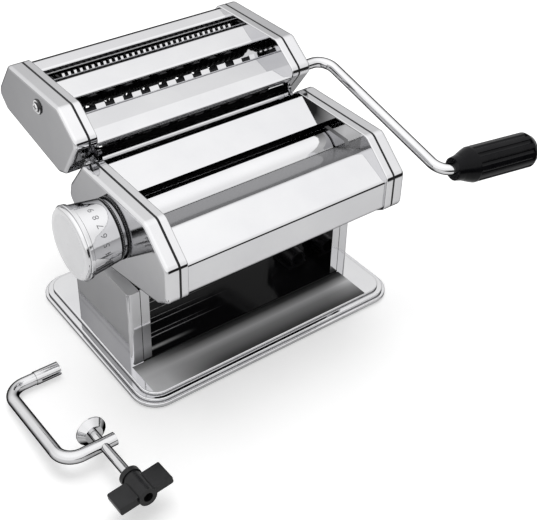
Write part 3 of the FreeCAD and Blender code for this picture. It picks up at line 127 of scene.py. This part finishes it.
def mix_colours(tree, mask, first, second):
    """The second colour where the mask is white, the first elsewhere."""
    mix = tree.nodes.new("ShaderNodeMix")
    mix.data_type = "RGBA"
    tree.links.new(mask, mix.inputs["Factor"])
    for name, colour in (("A", first), ("B", second)):
        feed(tree, (*colour, 1) if isinstance(colour, tuple) else colour, mix.inputs[name])
    return mix.outputs["Result"]


def blend_value(tree, mask, socket, inside):
    """Where the mask is white, the shader's value becomes the one given."""
    outside = socket.links[0].from_socket if socket.links else socket.default_value
    tree.links.new(mix_values(tree, mask, outside, inside), socket)


def blend_colour(tree, mask, shader, inside):
    """Where the mask is white, the base colour becomes the one given."""
    socket = shader.inputs["Base Color"]
    tree.links.new(mix_colours(tree, mask, socket.links[0].from_socket, inside), socket)


def bump(tree, height, distance, strength, shader, under=None):
    node = tree.nodes.new("ShaderNodeBump")
    node.inputs["Distance"].default_value = distance
    node.inputs["Strength"].default_value = strength
    tree.links.new(height, node.inputs["Height"])
    if under is not None:
        tree.links.new(under, node.inputs["Normal"])
    tree.links.new(node.outputs["Normal"], shader.inputs["Normal"])
    return node.outputs["Normal"]


def object_place(tree):
    return tree.nodes.new("ShaderNodeTexCoord").outputs["Object"]


def axes_of(tree, vector):
    split = tree.nodes.new("ShaderNodeSeparateXYZ")
    tree.links.new(vector, split.inputs[0])
    return split.outputs["X"], split.outputs["Y"], split.outputs["Z"]


def object_axes(tree):
    return axes_of(tree, object_place(tree))


def distance_from(tree, y, z, centre_y, centre_z):
    """Distance from an axis that runs along X."""
    over = minus(tree, y, centre_y)
    up = minus(tree, z, centre_z)
    return math_node(tree, "SQRT", plus(tree, times(tree, over, over), times(tree, up, up)))


# -------------------------------------------------------------- shared effects

# how a metal's fine lines run: the less a pattern is scaled along an axis, the longer they are
ALONG_ROLLERS = (0.03, 1.0, 1.0)
ROUND_ROLLERS = (1.0, 0.05, 0.05)
EVERY_WAY = (1.0, 1.0, 1.0)
# noise of each mark: its scale (given with the finish for lines), its detail and the detail's roughness
LINE_NOISE = (3.0, 0.6)
HAZE_NOISE = (28.0, 4.0, 0.55)
WAVE_NOISE = (9.0, 1.0, 0.4)
HANDLING_NOISE = (60.0, 4.0, 0.6)
GRAIN_DETAIL = 2.0
RUB_CONTRAST = (0.35, 0.7)
HANDLING_CONTRAST = (0.38, 0.68)
WAVE_STRENGTH = 1.0
LINE_STRENGTH = 0.3
GRAIN_STRENGTH = 0.5
# the lines' part in a metal's roughness; the haze has the rest
LINE_SHARE = 0.5


def start_group(name, inputs, outputs):
    tree = bpy.data.node_groups.new(name, "ShaderNodeTree")
    for label, kind, value in inputs:
        tree.interface.new_socket(name=label, in_out="INPUT", socket_type=kind).default_value = value
    for label in outputs:
        tree.interface.new_socket(name=label, in_out="OUTPUT", socket_type="NodeSocketFloat")
    return tree, tree.nodes.new("NodeGroupInput"), tree.nodes.new("NodeGroupOutput")


def build_rub_marks():
    """Rub marks of a polished metal: long fine lines, haze and slow waves in the sheet."""
    inputs = (("Line Scale", "NodeSocketFloat", 900.0), ("Line Run", "NodeSocketVector", ALONG_ROLLERS))
    tree, given, result = start_group("rub_marks", inputs, ("Lines", "Haze", "Waves"))
    place = object_place(tree)
    along = tree.nodes.new("ShaderNodeVectorMath")
    along.operation = "MULTIPLY"
    tree.links.new(place, along.inputs[0])
    tree.links.new(given.outputs["Line Run"], along.inputs[1])
    lines = noise_node(tree, along.outputs[0], given.outputs["Line Scale"], *LINE_NOISE)
    haze = noise_node(tree, place, *HAZE_NOISE)
    waves = noise_node(tree, place, *WAVE_NOISE)
    tree.links.new(ramp(tree, lines, *RUB_CONTRAST), result.inputs["Lines"])
    tree.links.new(ramp(tree, haze, *RUB_CONTRAST), result.inputs["Haze"])
    tree.links.new(waves, result.inputs["Waves"])
    return tree


def build_mould_skin():
    """Skin of moulded plastic or rubber: a fine even grain and faint handling marks."""
    inputs = (("Grain Scale", "NodeSocketFloat", 2200.0),)
    tree, given, result = start_group("mould_skin", inputs, ("Grain", "Handling"))
    place = object_place(tree)
    grain = noise_node(tree, place, given.outputs["Grain Scale"], GRAIN_DETAIL)
    handling = noise_node(tree, place, *HANDLING_NOISE)
    tree.links.new(grain, result.inputs["Grain"])
    tree.links.new(ramp(tree, handling, *HANDLING_CONTRAST), result.inputs["Handling"])
    return tree


RUB_MARKS = build_rub_marks()
MOULD_SKIN = build_mould_skin()

# ------------------------------------------------------------------ finishes


def opened(material):
    """A material with its node tree and its main shader."""
    return material, material.node_tree, material.node_tree.nodes["Principled BSDF"]


def start_material(name):
    material = bpy.data.materials.new(name)
    material.use_nodes = True
    return opened(material)


def metal(name, dark, light, rough_low, rough_high, line_scale, run, wave, line_depth):
    material, tree, shader = start_material(name)
    shader.inputs["Metallic"].default_value = 1.0
    marks = tree.nodes.new("ShaderNodeGroup")
    marks.node_tree = RUB_MARKS
    marks.inputs["Line Scale"].default_value = line_scale
    marks.inputs["Line Run"].default_value = run
    lines, haze = marks.outputs["Lines"], marks.outputs["Haze"]
    tree.links.new(mix_colours(tree, haze, dark, light), shader.inputs["Base Color"])
    dull = plus(tree, times(tree, lines, LINE_SHARE), times(tree, haze, 1 - LINE_SHARE))
    tree.links.new(ramp(tree, dull, 0.0, 1.0, rough_low, rough_high), shader.inputs["Roughness"])
    normal = bump(tree, marks.outputs["Waves"], wave, WAVE_STRENGTH, shader)
    bump(tree, lines, line_depth, LINE_STRENGTH, shader, normal)
    return material


def moulded(name, dark, light, rough_low, rough_high, grain_scale, grain_depth, shine=0.3):
    material, tree, shader = start_material(name)
    skin = tree.nodes.new("ShaderNodeGroup")
    skin.node_tree = MOULD_SKIN
    skin.inputs["Grain Scale"].default_value = grain_scale
    shader.inputs["Specular IOR Level"].default_value = shine
    handling = skin.outputs["Handling"]
    tree.links.new(mix_colours(tree, handling, dark, light), shader.inputs["Base Color"])
    tree.links.new(ramp(tree, handling, 0.0, 1.0, rough_low, rough_high), shader.inputs["Roughness"])
    bump(tree, skin.outputs["Grain"], grain_depth, GRAIN_STRENGTH, shader)
    return material


# dark and light colour, least and most roughness, scale and run of the lines, depth of the
# sheet's waves and of the lines in metres
POLISH = ((0.70, 0.70, 0.715), (0.74, 0.74, 0.75), 0.05, 0.10, 900, ALONG_ROLLERS, 0.0008, 0.000006)
METALS = {
    "roller_chrome": (
        (0.72, 0.72, 0.735), (0.76, 0.76, 0.77), 0.05, 0.10, 1200, ROUND_ROLLERS, 0.0003, 0.00001
    ),
    "crank_chrome": ((0.72, 0.72, 0.73), (0.76, 0.76, 0.77), 0.05, 0.10, 900, EVERY_WAY, 0.0003, 0.00001),
    "knob_chrome": ((0.74, 0.74, 0.755), (0.79, 0.79, 0.80), 0.05, 0.09, 1400, EVERY_WAY, 0.0002, 0.00001),
    "knob_face": ((0.74, 0.74, 0.75), (0.80, 0.80, 0.81), 0.05, 0.09, 1400, EVERY_WAY, 0.0002, 0.00001),
    "plain_steel": ((0.34, 0.34, 0.35), (0.42, 0.42, 0.43), 0.22, 0.36, 1500, ALONG_ROLLERS, 0.0003, 0.00002),
    "cheek_painted_dark_reflection": ((0.26, 0.26, 0.27), (0.32, 0.32, 0.33), 0.08, 0.16, 900, EVERY_WAY, 0.0006, 0.00001),
    "zinc_plated": ((0.64, 0.64, 0.65), (0.72, 0.72, 0.72), 0.10, 0.20, 1300, EVERY_WAY, 0.0003, 0.00002),
    "clamp_zinc": ((0.66, 0.66, 0.67), (0.72, 0.72, 0.73), 0.06, 0.12, 1300, EVERY_WAY, 0.0003, 0.00001),
    "cap_screw": ((0.70, 0.70, 0.71), (0.76, 0.76, 0.77), 0.08, 0.16, 1300, EVERY_WAY, 0.0003, 0.00002),
}
# dark and light colour, least and most roughness, scale and depth of the grain, shine if not 0.3
MOULDINGS = {
    "blackened_steel": ((0.008, 0.008, 0.009), (0.014, 0.014, 0.015), 0.25, 0.4, 900, 0.00001, 0.08),
    "bush_nylon": ((0.66, 0.64, 0.57), (0.72, 0.70, 0.62), 0.4, 0.55, 1800, 0.00003),
    "black_rubber": ((0.012, 0.012, 0.013), (0.022, 0.022, 0.023), 0.55, 0.75, 2600, 0.00005),
    "black_seal": ((0.006, 0.006, 0.007), (0.012, 0.012, 0.013), 0.45, 0.6, 2600, 0.00003),
    "knob_ring": ((0.006, 0.006, 0.007), (0.012, 0.012, 0.013), 0.25, 0.4, 2600, 0.00003),
    "black_gloss": ((0.003, 0.003, 0.004), (0.006, 0.006, 0.007), 0.20, 0.28, 2400, 0.000005, 0.12),
    "black_satin": ((0.009, 0.009, 0.010), (0.018, 0.018, 0.019), 0.28, 0.42, 2400, 0.00004),
    "engraving": ((0.20, 0.20, 0.21), (0.28, 0.28, 0.29), 0.35, 0.5, 2200, 0.00001),
}
# where, from facing the eye (0) to turned away (1), a mirror's painted dark reflection starts and is full
SHEET_OUTLINE = (0.68, 0.92)
FENDER_OUTLINE = (0.80, 0.92)
KNOB_OUTLINE = (0.7, 0.95)
ROD_OUTLINE = (0.3, 0.66)
# colour of the painted dark reflection at a mirror's outline
OUTLINE_PAINTED_REFLECTION = (0.02, 0.02, 0.02)
OUTLINE_TINT = (0.1, 0.1, 0.1, 1)


def dark_outline(material, start, end):
    """Paints a dark reflection into a mirror's base colour towards its outline, where a mirror on a white
    table would see the dark room.
    """
    material, tree, shader = opened(material)
    weight = tree.nodes.new("ShaderNodeLayerWeight")
    weight.inputs["Blend"].default_value = 0.5
    blend_colour(tree, smooth_ramp(tree, weight.outputs["Facing"], start, end), shader, OUTLINE_PAINTED_REFLECTION)
    shader.inputs["Specular Tint"].default_value = OUTLINE_TINT
    return material


# a polished sheet, with a painted dark reflection towards its outline
def polished(name, outline=SHEET_OUTLINE):
    return opened(dark_outline(metal(name, *POLISH), *outline))


# The finishes below change over one piece, and most of them paint light or shade on it. Their limits are in
# millimetres along the machine's axes.

TRAY_TOP = 9.35
# the stand's floor is painted glossy black as the shade inside the stand
TRAY_PAINTED_SHADE = (0.008, 0.008, 0.009)
TRAY_SHINE = 0.15
# painted reflection streaks on the tray: place along Y, half width, and where they end along X
TRAY_PAINTED_REFLECTIONS = (
    (-35.5, 2.4, -35.0), (-26.0, 0.7, -5.0), (-22.5, 0.5, -15.0), (-14.0, 0.6, 5.0),
    (-9.5, 0.5, -10.0), (-2.5, 0.5, 10.0), (5.5, 0.7, 15.0), (9.5, 0.5, 0.0),
)
STREAK_START = -76.0
STREAK_PAINTED_REFLECTION = (0.8, 0.8, 0.8)


def stand_inner_finish():
    """Polished stand sheet; its floor is painted glossy black as shade, with pale painted reflection streaks.
    """
    material, tree, shader = polished("stand_inner")
    x, y, z = object_axes(tree)
    tray = below(tree, z, TRAY_TOP)
    blend_colour(tree, tray, shader, TRAY_PAINTED_SHADE)
    for middle, half, end in TRAY_PAINTED_REFLECTIONS:
        away = math_node(tree, "ABSOLUTE", minus(tree, y, middle * MM))
        near = smooth_ramp(tree, away, half * MM, 0.0)
        streak = times(tree, tray, near, smooth_ramp(tree, x, end * MM, STREAK_START * MM))
        blend_colour(tree, streak, shader, STREAK_PAINTED_REFLECTION)
    blend_value(tree, tray, shader.inputs["Metallic"], 0.0)
    blend_value(tree, tray, shader.inputs["Specular IOR Level"], TRAY_SHINE)
    return material


EDGE_LOW = 67.8
EDGE_METAL = 0.1
EDGE_ROUGH = 0.4
# pale painted reflection, used on the stand side's top edge and on the apron's left end
PALE_PAINTED_REFLECTION = (0.85, 0.85, 0.86)


def stand_side_finish():
    """Polished stand side whose top edge under the end cap is dull, with a pale painted reflection."""
    material, tree, shader = polished("stand_side")
    edge = above(tree, object_axes(tree)[2], EDGE_LOW)
    blend_colour(tree, edge, shader, PALE_PAINTED_REFLECTION)
    blend_value(tree, edge, shader.inputs["Metallic"], EDGE_METAL)
    blend_value(tree, edge, shader.inputs["Roughness"], EDGE_ROUGH)
    return material


APRON_LOW = 7.9
APRON_BACK = -42.3
APRON_ENDS = (-91.5, 83.6)
APRON_ROUGH = 0.35
APRON_SHINE = 0.2
# the painted reflection's brightness from the apron's back (0) to its front edge (1)
PAINTED_REFLECTION_REACH = (-42.0, -78.0)
PAINTED_REFLECTION_STOPS = ((0.0, 0.012), (0.12, 0.08), (0.34, 0.85), (0.5, 0.46), (0.78, 0.12), (1.0, 0.05))
PAINTED_REFLECTION_BLUE = 1.01
# the apron's left end is painted brighter: from and to these places, less so near the tray
BRIGHT_END = (-30.0, -78.0)
BRIGHT_SPREAD = (0.0, 0.5, 0.25, 1.0)
# heights of the two grooves in the stepped rim, which get painted shade
RIM_GROOVES = ((6.0, 6.6), (3.7, 4.3))
GROOVE_PAINTED_SHADE = (0.03, 0.03, 0.03)


def base_finish():
    """Polished base; its satin apron before the stand has a painted reflection that fades to both edges."""
    material, tree, shader = polished("base_sheet")
    x, y, z = object_axes(tree)
    apron = times(tree, above(tree, z, APRON_LOW), below(tree, y, APRON_BACK), within(tree, x, *APRON_ENDS))
    across = ramp(tree, y, *metres(PAINTED_REFLECTION_REACH))
    painted_reflection = tree.nodes.new("ShaderNodeValToRGB")
    row = painted_reflection.color_ramp.elements
    while len(row) < len(PAINTED_REFLECTION_STOPS):
        row.new(0.5)
    for stop, (at, level) in zip(row, PAINTED_REFLECTION_STOPS):
        stop.position = at
        stop.color = (level, level, level * PAINTED_REFLECTION_BLUE, 1)
    tree.links.new(across, painted_reflection.inputs["Fac"])
    left_end = ramp(tree, x, *metres(BRIGHT_END))
    spread = ramp(tree, across, *BRIGHT_SPREAD)
    painted_brightening = times(tree, left_end, left_end, spread)
    blend_colour(tree, apron, shader, mix_colours(tree, painted_brightening, painted_reflection.outputs["Color"], PALE_PAINTED_REFLECTION))
    blend_value(tree, apron, shader.inputs["Metallic"], 0.0)
    blend_value(tree, apron, shader.inputs["Roughness"], APRON_ROUGH)
    blend_value(tree, apron, shader.inputs["Specular IOR Level"], APRON_SHINE)
    grooves = math_node(tree, "MAXIMUM", *(within(tree, z, *groove) for groove in RIM_GROOVES))
    blend_colour(tree, grooves, shader, GROOVE_PAINTED_SHADE)
    return material


TROUGH_FRONT = -66.6
TROUGH_LOW = 116.0
# painted shade in the fender's trough
TROUGH_PAINTED_SHADE = (0.27, 0.27, 0.28)
TROUGH_METAL = 0.35


def fender_finish():
    """Polished fender; the trough behind its ridge, next to the roller, is greyer with painted shade."""
    material, tree, shader = polished("fender_sheet", FENDER_OUTLINE)
    x, y, z = object_axes(tree)
    trough = times(tree, above(tree, y, TROUGH_FRONT), above(tree, z, TROUGH_LOW))
    blend_colour(tree, trough, shader, TROUGH_PAINTED_SHADE)
    blend_value(tree, trough, shader.inputs["Metallic"], TROUGH_METAL)
    return material


MOUTH_HALF = 76.3
MOUTH_REACH = (-62.0, 4.0)
# the painted shade's grey in the mouth over its depth along Y
MOUTH_FADE = (-16.0, -46.0)
MOUTH_PAINTED_SHADE_GREYS = (0.03, 0.5)


def side_plate_finish():
    """Polished side plate with painted shade inside the mouth, where the dough passes."""
    material, tree, shader = polished("side_plate_sheet")
    x, y, z = object_axes(tree)
    between = below(tree, math_node(tree, "ABSOLUTE", x), MOUTH_HALF)
    inside = times(tree, between, within(tree, y, *MOUTH_REACH))
    fade = ramp(tree, y, *metres(MOUTH_FADE), *MOUTH_PAINTED_SHADE_GREYS)
    grey = tree.nodes.new("ShaderNodeCombineColor")
    for name in ("Red", "Green", "Blue"):
        tree.links.new(fade, grey.inputs[name])
    blend_colour(tree, inside, shader, grey.outputs["Color"])
    return material


KNOB_Y = -25.4 * MM
KNOB_Z = 110.0 * MM
# radii over which the face's satin ends
FACE_SATIN = (19.2, 20.4)
SATIN_ROUGH = 0.34
RING_LINE = (-93.1, -92.75)
RING_PALE = (0.5, 0.5, 0.51)
KNURLS = 90.0
KNURL_RISE = (-0.4, 0.6)


def knob_face_finish():
    """Chromed knob face: satin in the middle, polished round the edge."""
    material, tree, shader = opened(metal("knob_face", *METALS["knob_face"]))
    x, y, z = object_axes(tree)
    radius = distance_from(tree, y, z, KNOB_Y, KNOB_Z)
    satin = minus(tree, 1.0, smooth_ramp(tree, radius, *metres(FACE_SATIN)))
    blend_value(tree, satin, shader.inputs["Roughness"], SATIN_ROUGH)
    return material


def knob_ring_finish():
    """Black ring with a fine pale knurled line round it."""
    material, tree, shader = opened(moulded("knob_ring", *MOULDINGS["knob_ring"]))
    x, y, z = object_axes(tree)
    angle = math_node(tree, "ARCTAN2", minus(tree, z, KNOB_Z), minus(tree, y, KNOB_Y))
    knurl = math_node(tree, "SINE", times(tree, angle, KNURLS))
    line = times(tree, within(tree, x, *RING_LINE), ramp(tree, knurl, *KNURL_RISE))
    blend_colour(tree, line, shader, RING_PALE)
    return material


# cap screws, the left one first: their place, the cross's half width and radius, how far out along
# X the heads begin, the radii of the seam round a head, and where the washer's rim begins
SCREW_Y = (59.5, 97.5)
SCREW_Z = (155.8, 152.0)
CROSS_HALF = 0.55
CROSS_RADIUS = 2.1
HEAD_START = 93.0
HEAD_SEAM = (3.0, 3.7)
WASHER_RIM = 4.75
# painted shade for the cross recess, the seam round each head and the washer's rim
SCREW_PAINTED_SHADE = (0.03, 0.03, 0.032)
SEAM_METAL = 0.2


def cap_screw_finish():
    """Bright screw head with painted shade in its cross recess, in a seam round it and on the washer's rim.
    """
    material, tree, shader = opened(metal("cap_screw", *METALS["cap_screw"]))
    x, y, z = object_axes(tree)
    right = above(tree, x, 0.0)
    centre_y = ramp(tree, right, 0.0, 1.0, *metres(SCREW_Y))
    centre_z = ramp(tree, right, 0.0, 1.0, *metres(SCREW_Z))
    over = math_node(tree, "ABSOLUTE", minus(tree, y, centre_y))
    up = math_node(tree, "ABSOLUTE", minus(tree, z, centre_z))
    radius = distance_from(tree, y, z, centre_y, centre_z)
    recess = times(
        tree,
        below(tree, math_node(tree, "MINIMUM", over, up), CROSS_HALF),
        below(tree, radius, CROSS_RADIUS),
        above(tree, math_node(tree, "ABSOLUTE", x), HEAD_START),
    )
    rim = above(tree, radius, WASHER_RIM)
    dark = math_node(tree, "MAXIMUM", within(tree, radius, *HEAD_SEAM), rim)
    dark = math_node(tree, "MAXIMUM", recess, dark)
    blend_colour(tree, dark, shader, SCREW_PAINTED_SHADE)
    blend_value(tree, dark, shader.inputs["Metallic"], SEAM_METAL)
    return material


SLOT_METALS = ("roller_chrome", "crank_chrome", "knob_chrome", "plain_steel", "zinc_plated")
SLOT_MOULDINGS = ("blackened_steel", "bush_nylon", "black_rubber", "black_seal", "black_gloss", "black_satin")
FINISH = {"polished_steel": polished("polished_steel")[0]}
FINISH.update({name: metal(name, *METALS[name]) for name in SLOT_METALS})
FINISH.update({name: moulded(name, *MOULDINGS[name]) for name in SLOT_MOULDINGS})
dark_outline(FINISH["knob_chrome"], *KNOB_OUTLINE)
dark_outline(FINISH["crank_chrome"], *ROD_OUTLINE)

# pieces painted near black in place of their own metal, as the shade inside the machine
SHADE_PAINTED_PIECES = {
    "narrow_roller_front", "narrow_roller_rear", "wide_roller_front", "wide_roller_rear",
    "strip_combs", "cutter_tie_rods", "rear_scraper", "carriage_bar", "rear_roller",
}
OWN_FINISH = {
    "stand_cradle": stand_inner_finish(),
    "base_plate": base_finish(),
    "knob_face": knob_face_finish(),
    "knob_ring": knob_ring_finish(),
    "cap_screws": cap_screw_finish(),
    "front_fender": fender_finish(),
    # the dough cheeks are painted dark for the dark reflection they show
    "dough_cheeks": metal("cheek_painted_dark_reflection", *METALS["cheek_painted_dark_reflection"]),
}
OWN_FINISH.update(dict.fromkeys(("side_plate_left", "side_plate_right"), side_plate_finish()))
OWN_FINISH.update(dict.fromkeys(("stand_side_left", "stand_side_right"), stand_side_finish()))
clamp_finish = dark_outline(metal("clamp_zinc", *METALS["clamp_zinc"]), *ROD_OUTLINE)
OWN_FINISH.update(dict.fromkeys(("clamp_frame", "clamp_screw", "clamp_pad"), clamp_finish))

for name, node in NODES.items():
    finish = OWN_FINISH.get(name) or FINISH["blackened_steel" if name in SHADE_PAINTED_PIECES else SLOT_OF[name]]
    if node.material_slots:
        for slot in node.material_slots:
            slot.material = finish
    else:
        node.data.materials.append(finish)

# ------------------------------------------------------------ the knob's numbers

# the numbers' middle along X, the angle of the 0 and the step to the next number in degrees
DIAL_X = -104.5 * MM
DIAL_FIRST = 241.5
DIAL_STEP = 15.7
DIGIT_SIZE = 6.0 * MM
DIGIT_THINNING = -0.05 * MM
DIGIT_LIFT = 0.06 * MM
# place along X and radius at the drum's two ends
DRUM_NARROW = (-94.1 * MM, 20.6 * MM)
DRUM_WIDE = (-113.6 * MM, 23.1 * MM)


def drum_radius(x):
    """Radius of the gauge knob's drum, which widens towards its face."""
    (narrow_x, narrow), (wide_x, wide) = DRUM_NARROW, DRUM_WIDE
    return narrow + (wide - narrow) * (narrow_x - x) / (narrow_x - wide_x)


def make_dial_digits():
    """Numbers 0 to 9 engraved round the gauge knob's drum."""
    bpy.ops.object.select_all(action="DESELECT")
    made = []
    for digit in range(10):
        bpy.ops.object.text_add(location=(0, 0, 0))
        text = bpy.context.object
        text.data.body = str(digit)
        text.data.size = DIGIT_SIZE
        text.data.align_x = "CENTER"
        text.data.align_y = "CENTER"
        text.data.offset = DIGIT_THINNING
        bpy.ops.object.convert(target="MESH")
        text = bpy.context.object
        middle = math.radians(DIAL_FIRST - DIAL_STEP * digit)
        for vertex in text.data.vertices:
            x = DIAL_X - vertex.co.y
            radius = drum_radius(x) + DIGIT_LIFT
            angle = middle - vertex.co.x / radius
            vertex.co = (x, KNOB_Y + radius * math.cos(angle), KNOB_Z + radius * math.sin(angle))
        made.append(text)
    for text in made:
        text.select_set(True)
    bpy.context.view_layer.objects.active = made[0]
    bpy.ops.object.join()
    digits = bpy.context.object
    digits.name = "dial_digits"
    digits.data.materials.append(moulded("engraving", *MOULDINGS["engraving"]))
    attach(digits, "knob")


make_dial_digits()

# ------------------------------------------------------------------ the floor

FLOOR_SIZE = 6.0
FLOOR_DROP = -0.0004
FLOOR_WHITE = (0.70, 0.70, 0.70, 1)
FLOOR_ROUGH = 0.9
# light added to the floor for the eye and for mirrors
SEEN_LIFT = 0.50
MIRRORED_LIFT = 0.20
# distances from the machine over which mirrors see the table end
TABLE_EDGE = (0.33, 0.45)
# the dark side of the room lies this way along X and Y, and spreads this far to its sides
DARK_SIDE = (0.475, -0.88)
DARK_SPREAD = (0.45, 0.8)
HORIZON_DARK = 0.015


def dark_side(tree, x, y):
    """White for directions that lie before the machine and to its right, black for the others."""
    along = plus(tree, times(tree, x, DARK_SIDE[0]), times(tree, y, DARK_SIDE[1]))
    return smooth_ramp(tree, along, *DARK_SPREAD)


def make_floor():
    """White table top: it keeps the shadow, and mirrors see it end a little way out."""
    bpy.ops.object.select_all(action="DESELECT")
    bpy.ops.mesh.primitive_plane_add(size=FLOOR_SIZE, location=(0, 0, FLOOR_DROP))
    floor = bpy.context.object
    floor.name = "floor"
    material, tree, shader = start_material("floor_paint")
    shader.inputs["Roughness"].default_value = FLOOR_ROUGH
    shader.inputs["Specular IOR Level"].default_value = 0.0
    shader.inputs["Base Color"].default_value = FLOOR_WHITE
    shader.inputs["Emission Color"].default_value = (1, 1, 1, 1)
    rays = tree.nodes.new("ShaderNodeLightPath")
    seen = times(tree, rays.outputs["Is Camera Ray"], SEEN_LIFT)
    mirrored = times(tree, rays.outputs["Is Glossy Ray"], MIRRORED_LIFT)
    tree.links.new(plus(tree, seen, mirrored), shader.inputs["Emission Strength"])
    place = object_place(tree)
    reach = tree.nodes.new("ShaderNodeVectorMath")
    reach.operation = "LENGTH"
    tree.links.new(place, reach.inputs[0])
    far = reach.outputs["Value"]
    x, y, z = axes_of(tree, place)
    toward = (math_node(tree, "DIVIDE", x, far), math_node(tree, "DIVIDE", y, far))
    beyond = times(tree, smooth_ramp(tree, far, *TABLE_EDGE), dark_side(tree, *toward))
    dark = tree.nodes.new("ShaderNodeEmission")
    dark.inputs["Strength"].default_value = HORIZON_DARK
    mix = tree.nodes.new("ShaderNodeMixShader")
    tree.links.new(times(tree, beyond, rays.outputs["Is Glossy Ray"]), mix.inputs[0])
    tree.links.new(shader.outputs[0], mix.inputs[1])
    tree.links.new(dark.outputs[0], mix.inputs[2])
    tree.links.new(mix.outputs[0], tree.nodes["Material Output"].inputs[0])
    floor.data.materials.append(material)


# ------------------------------------------------------------------ the light

ROOM_LIGHT = 0.42
# what mirrors see of the room: the heights of the view (0 level, 1 straight up) at which the tent
# and its crown brighten, and the brightness added at the crown, at the back and at the right
TENT_RISE = (0.10, 0.22)
TENT_LEVEL = 1.02
CROWN_RISE = (0.45, 0.95)
CROWN_GAIN = 0.3
BACK_GAIN = -0.08
RIGHT_GAIN = -0.14
SOFTBOX_PLACE = (0.12, 0.22, 0.95)
SOFTBOX_AIM = (0.02, 0, 0.05)
SOFTBOX_SIDE = 0.9
SOFTBOX_RADIANCE = 3.0


def studio_around(tree):
    """Brightness of the studio that mirrors see: a soft tent with one dark side, low down."""
    x, y, z = axes_of(tree, tree.nodes.new("ShaderNodeTexCoord").outputs["Generated"])
    tent = smooth_ramp(tree, z, *TENT_RISE)
    crown = smooth_ramp(tree, z, *CROWN_RISE)
    level = plus(tree, times(tree, crown, CROWN_GAIN), TENT_LEVEL)
    level = plus(tree, level, times(tree, y, BACK_GAIN), times(tree, x, RIGHT_GAIN))
    shade = times(tree, minus(tree, 1.0, tent), dark_side(tree, x, y))
    return plus(tree, times(tree, minus(tree, 1.0, shade), level), HORIZON_DARK)


def make_light():
    world = bpy.data.worlds.new("studio")
    bpy.context.scene.world = world
    world.use_nodes = True
    tree = world.node_tree
    around = tree.nodes["Background"]
    around.inputs["Color"].default_value = (1, 1, 1, 1)
    rays = tree.nodes.new("ShaderNodeLightPath")
    plain = plus(tree, times(tree, rays.outputs["Is Camera Ray"], 1 - ROOM_LIGHT), ROOM_LIGHT)
    mirrored = mix_values(tree, rays.outputs["Is Glossy Ray"], plain, studio_around(tree))
    tree.links.new(mirrored, around.inputs["Strength"])
    lamp = bpy.data.lights.new("top_softbox", "AREA")
    lamp.shape = "RECTANGLE"
    lamp.size = lamp.size_y = SOFTBOX_SIDE
    lamp.energy = SOFTBOX_RADIANCE * math.pi * SOFTBOX_SIDE * SOFTBOX_SIDE
    softbox = bpy.data.objects.new("top_softbox", lamp)
    bpy.context.scene.collection.objects.link(softbox)
    softbox.location = SOFTBOX_PLACE
    shine = Vector(SOFTBOX_AIM) - Vector(SOFTBOX_PLACE)
    softbox.rotation_euler = shine.to_track_quat("-Z", "Y").to_euler()
    softbox.visible_glossy = False


# ----------------------------------------------------------------- the camera

CAMERA_AZIMUTH, CAMERA_ELEVATION, CAMERA_ROLL = (math.radians(angle) for angle in (-35.66, 35.36, 0.49))
CAMERA_TARGET = Vector((0.01366, -0.01125, 0.0728))
CAMERA_DISTANCE = 0.7099
CAMERA_NEAR = 0.01
SENSOR_WIDTH = 36.0
# the image's size, the focal length and the point on the lens's axis, in the image's pixels
IMAGE_WIDTH, IMAGE_HEIGHT = 537, 520
FOCAL_LENGTH = 1034
AXIS_X, AXIS_Y = 236.47, 210.91


def make_camera():
    camera_data = bpy.data.cameras.new("camera")
    camera = bpy.data.objects.new("camera", camera_data)
    bpy.context.scene.collection.objects.link(camera)
    turn = Euler((math.pi / 2 - CAMERA_ELEVATION, 0, CAMERA_AZIMUTH)).to_matrix()
    turn = turn @ Matrix.Rotation(CAMERA_ROLL, 3, "Z")
    back = turn @ Vector((0, 0, 1))
    camera.matrix_world = Matrix.Translation(CAMERA_TARGET + back * CAMERA_DISTANCE) @ turn.to_4x4()
    camera_data.sensor_width = SENSOR_WIDTH
    camera_data.lens = FOCAL_LENGTH / IMAGE_WIDTH * SENSOR_WIDTH
    camera_data.shift_x = (IMAGE_WIDTH / 2 - AXIS_X) / IMAGE_WIDTH
    camera_data.shift_y = (AXIS_Y - IMAGE_HEIGHT / 2) / IMAGE_WIDTH
    camera_data.clip_start = CAMERA_NEAR
    bpy.context.scene.camera = camera


make_floor()
make_light()
make_camera()
bpy.context.scene.view_settings.view_transform = "Standard"
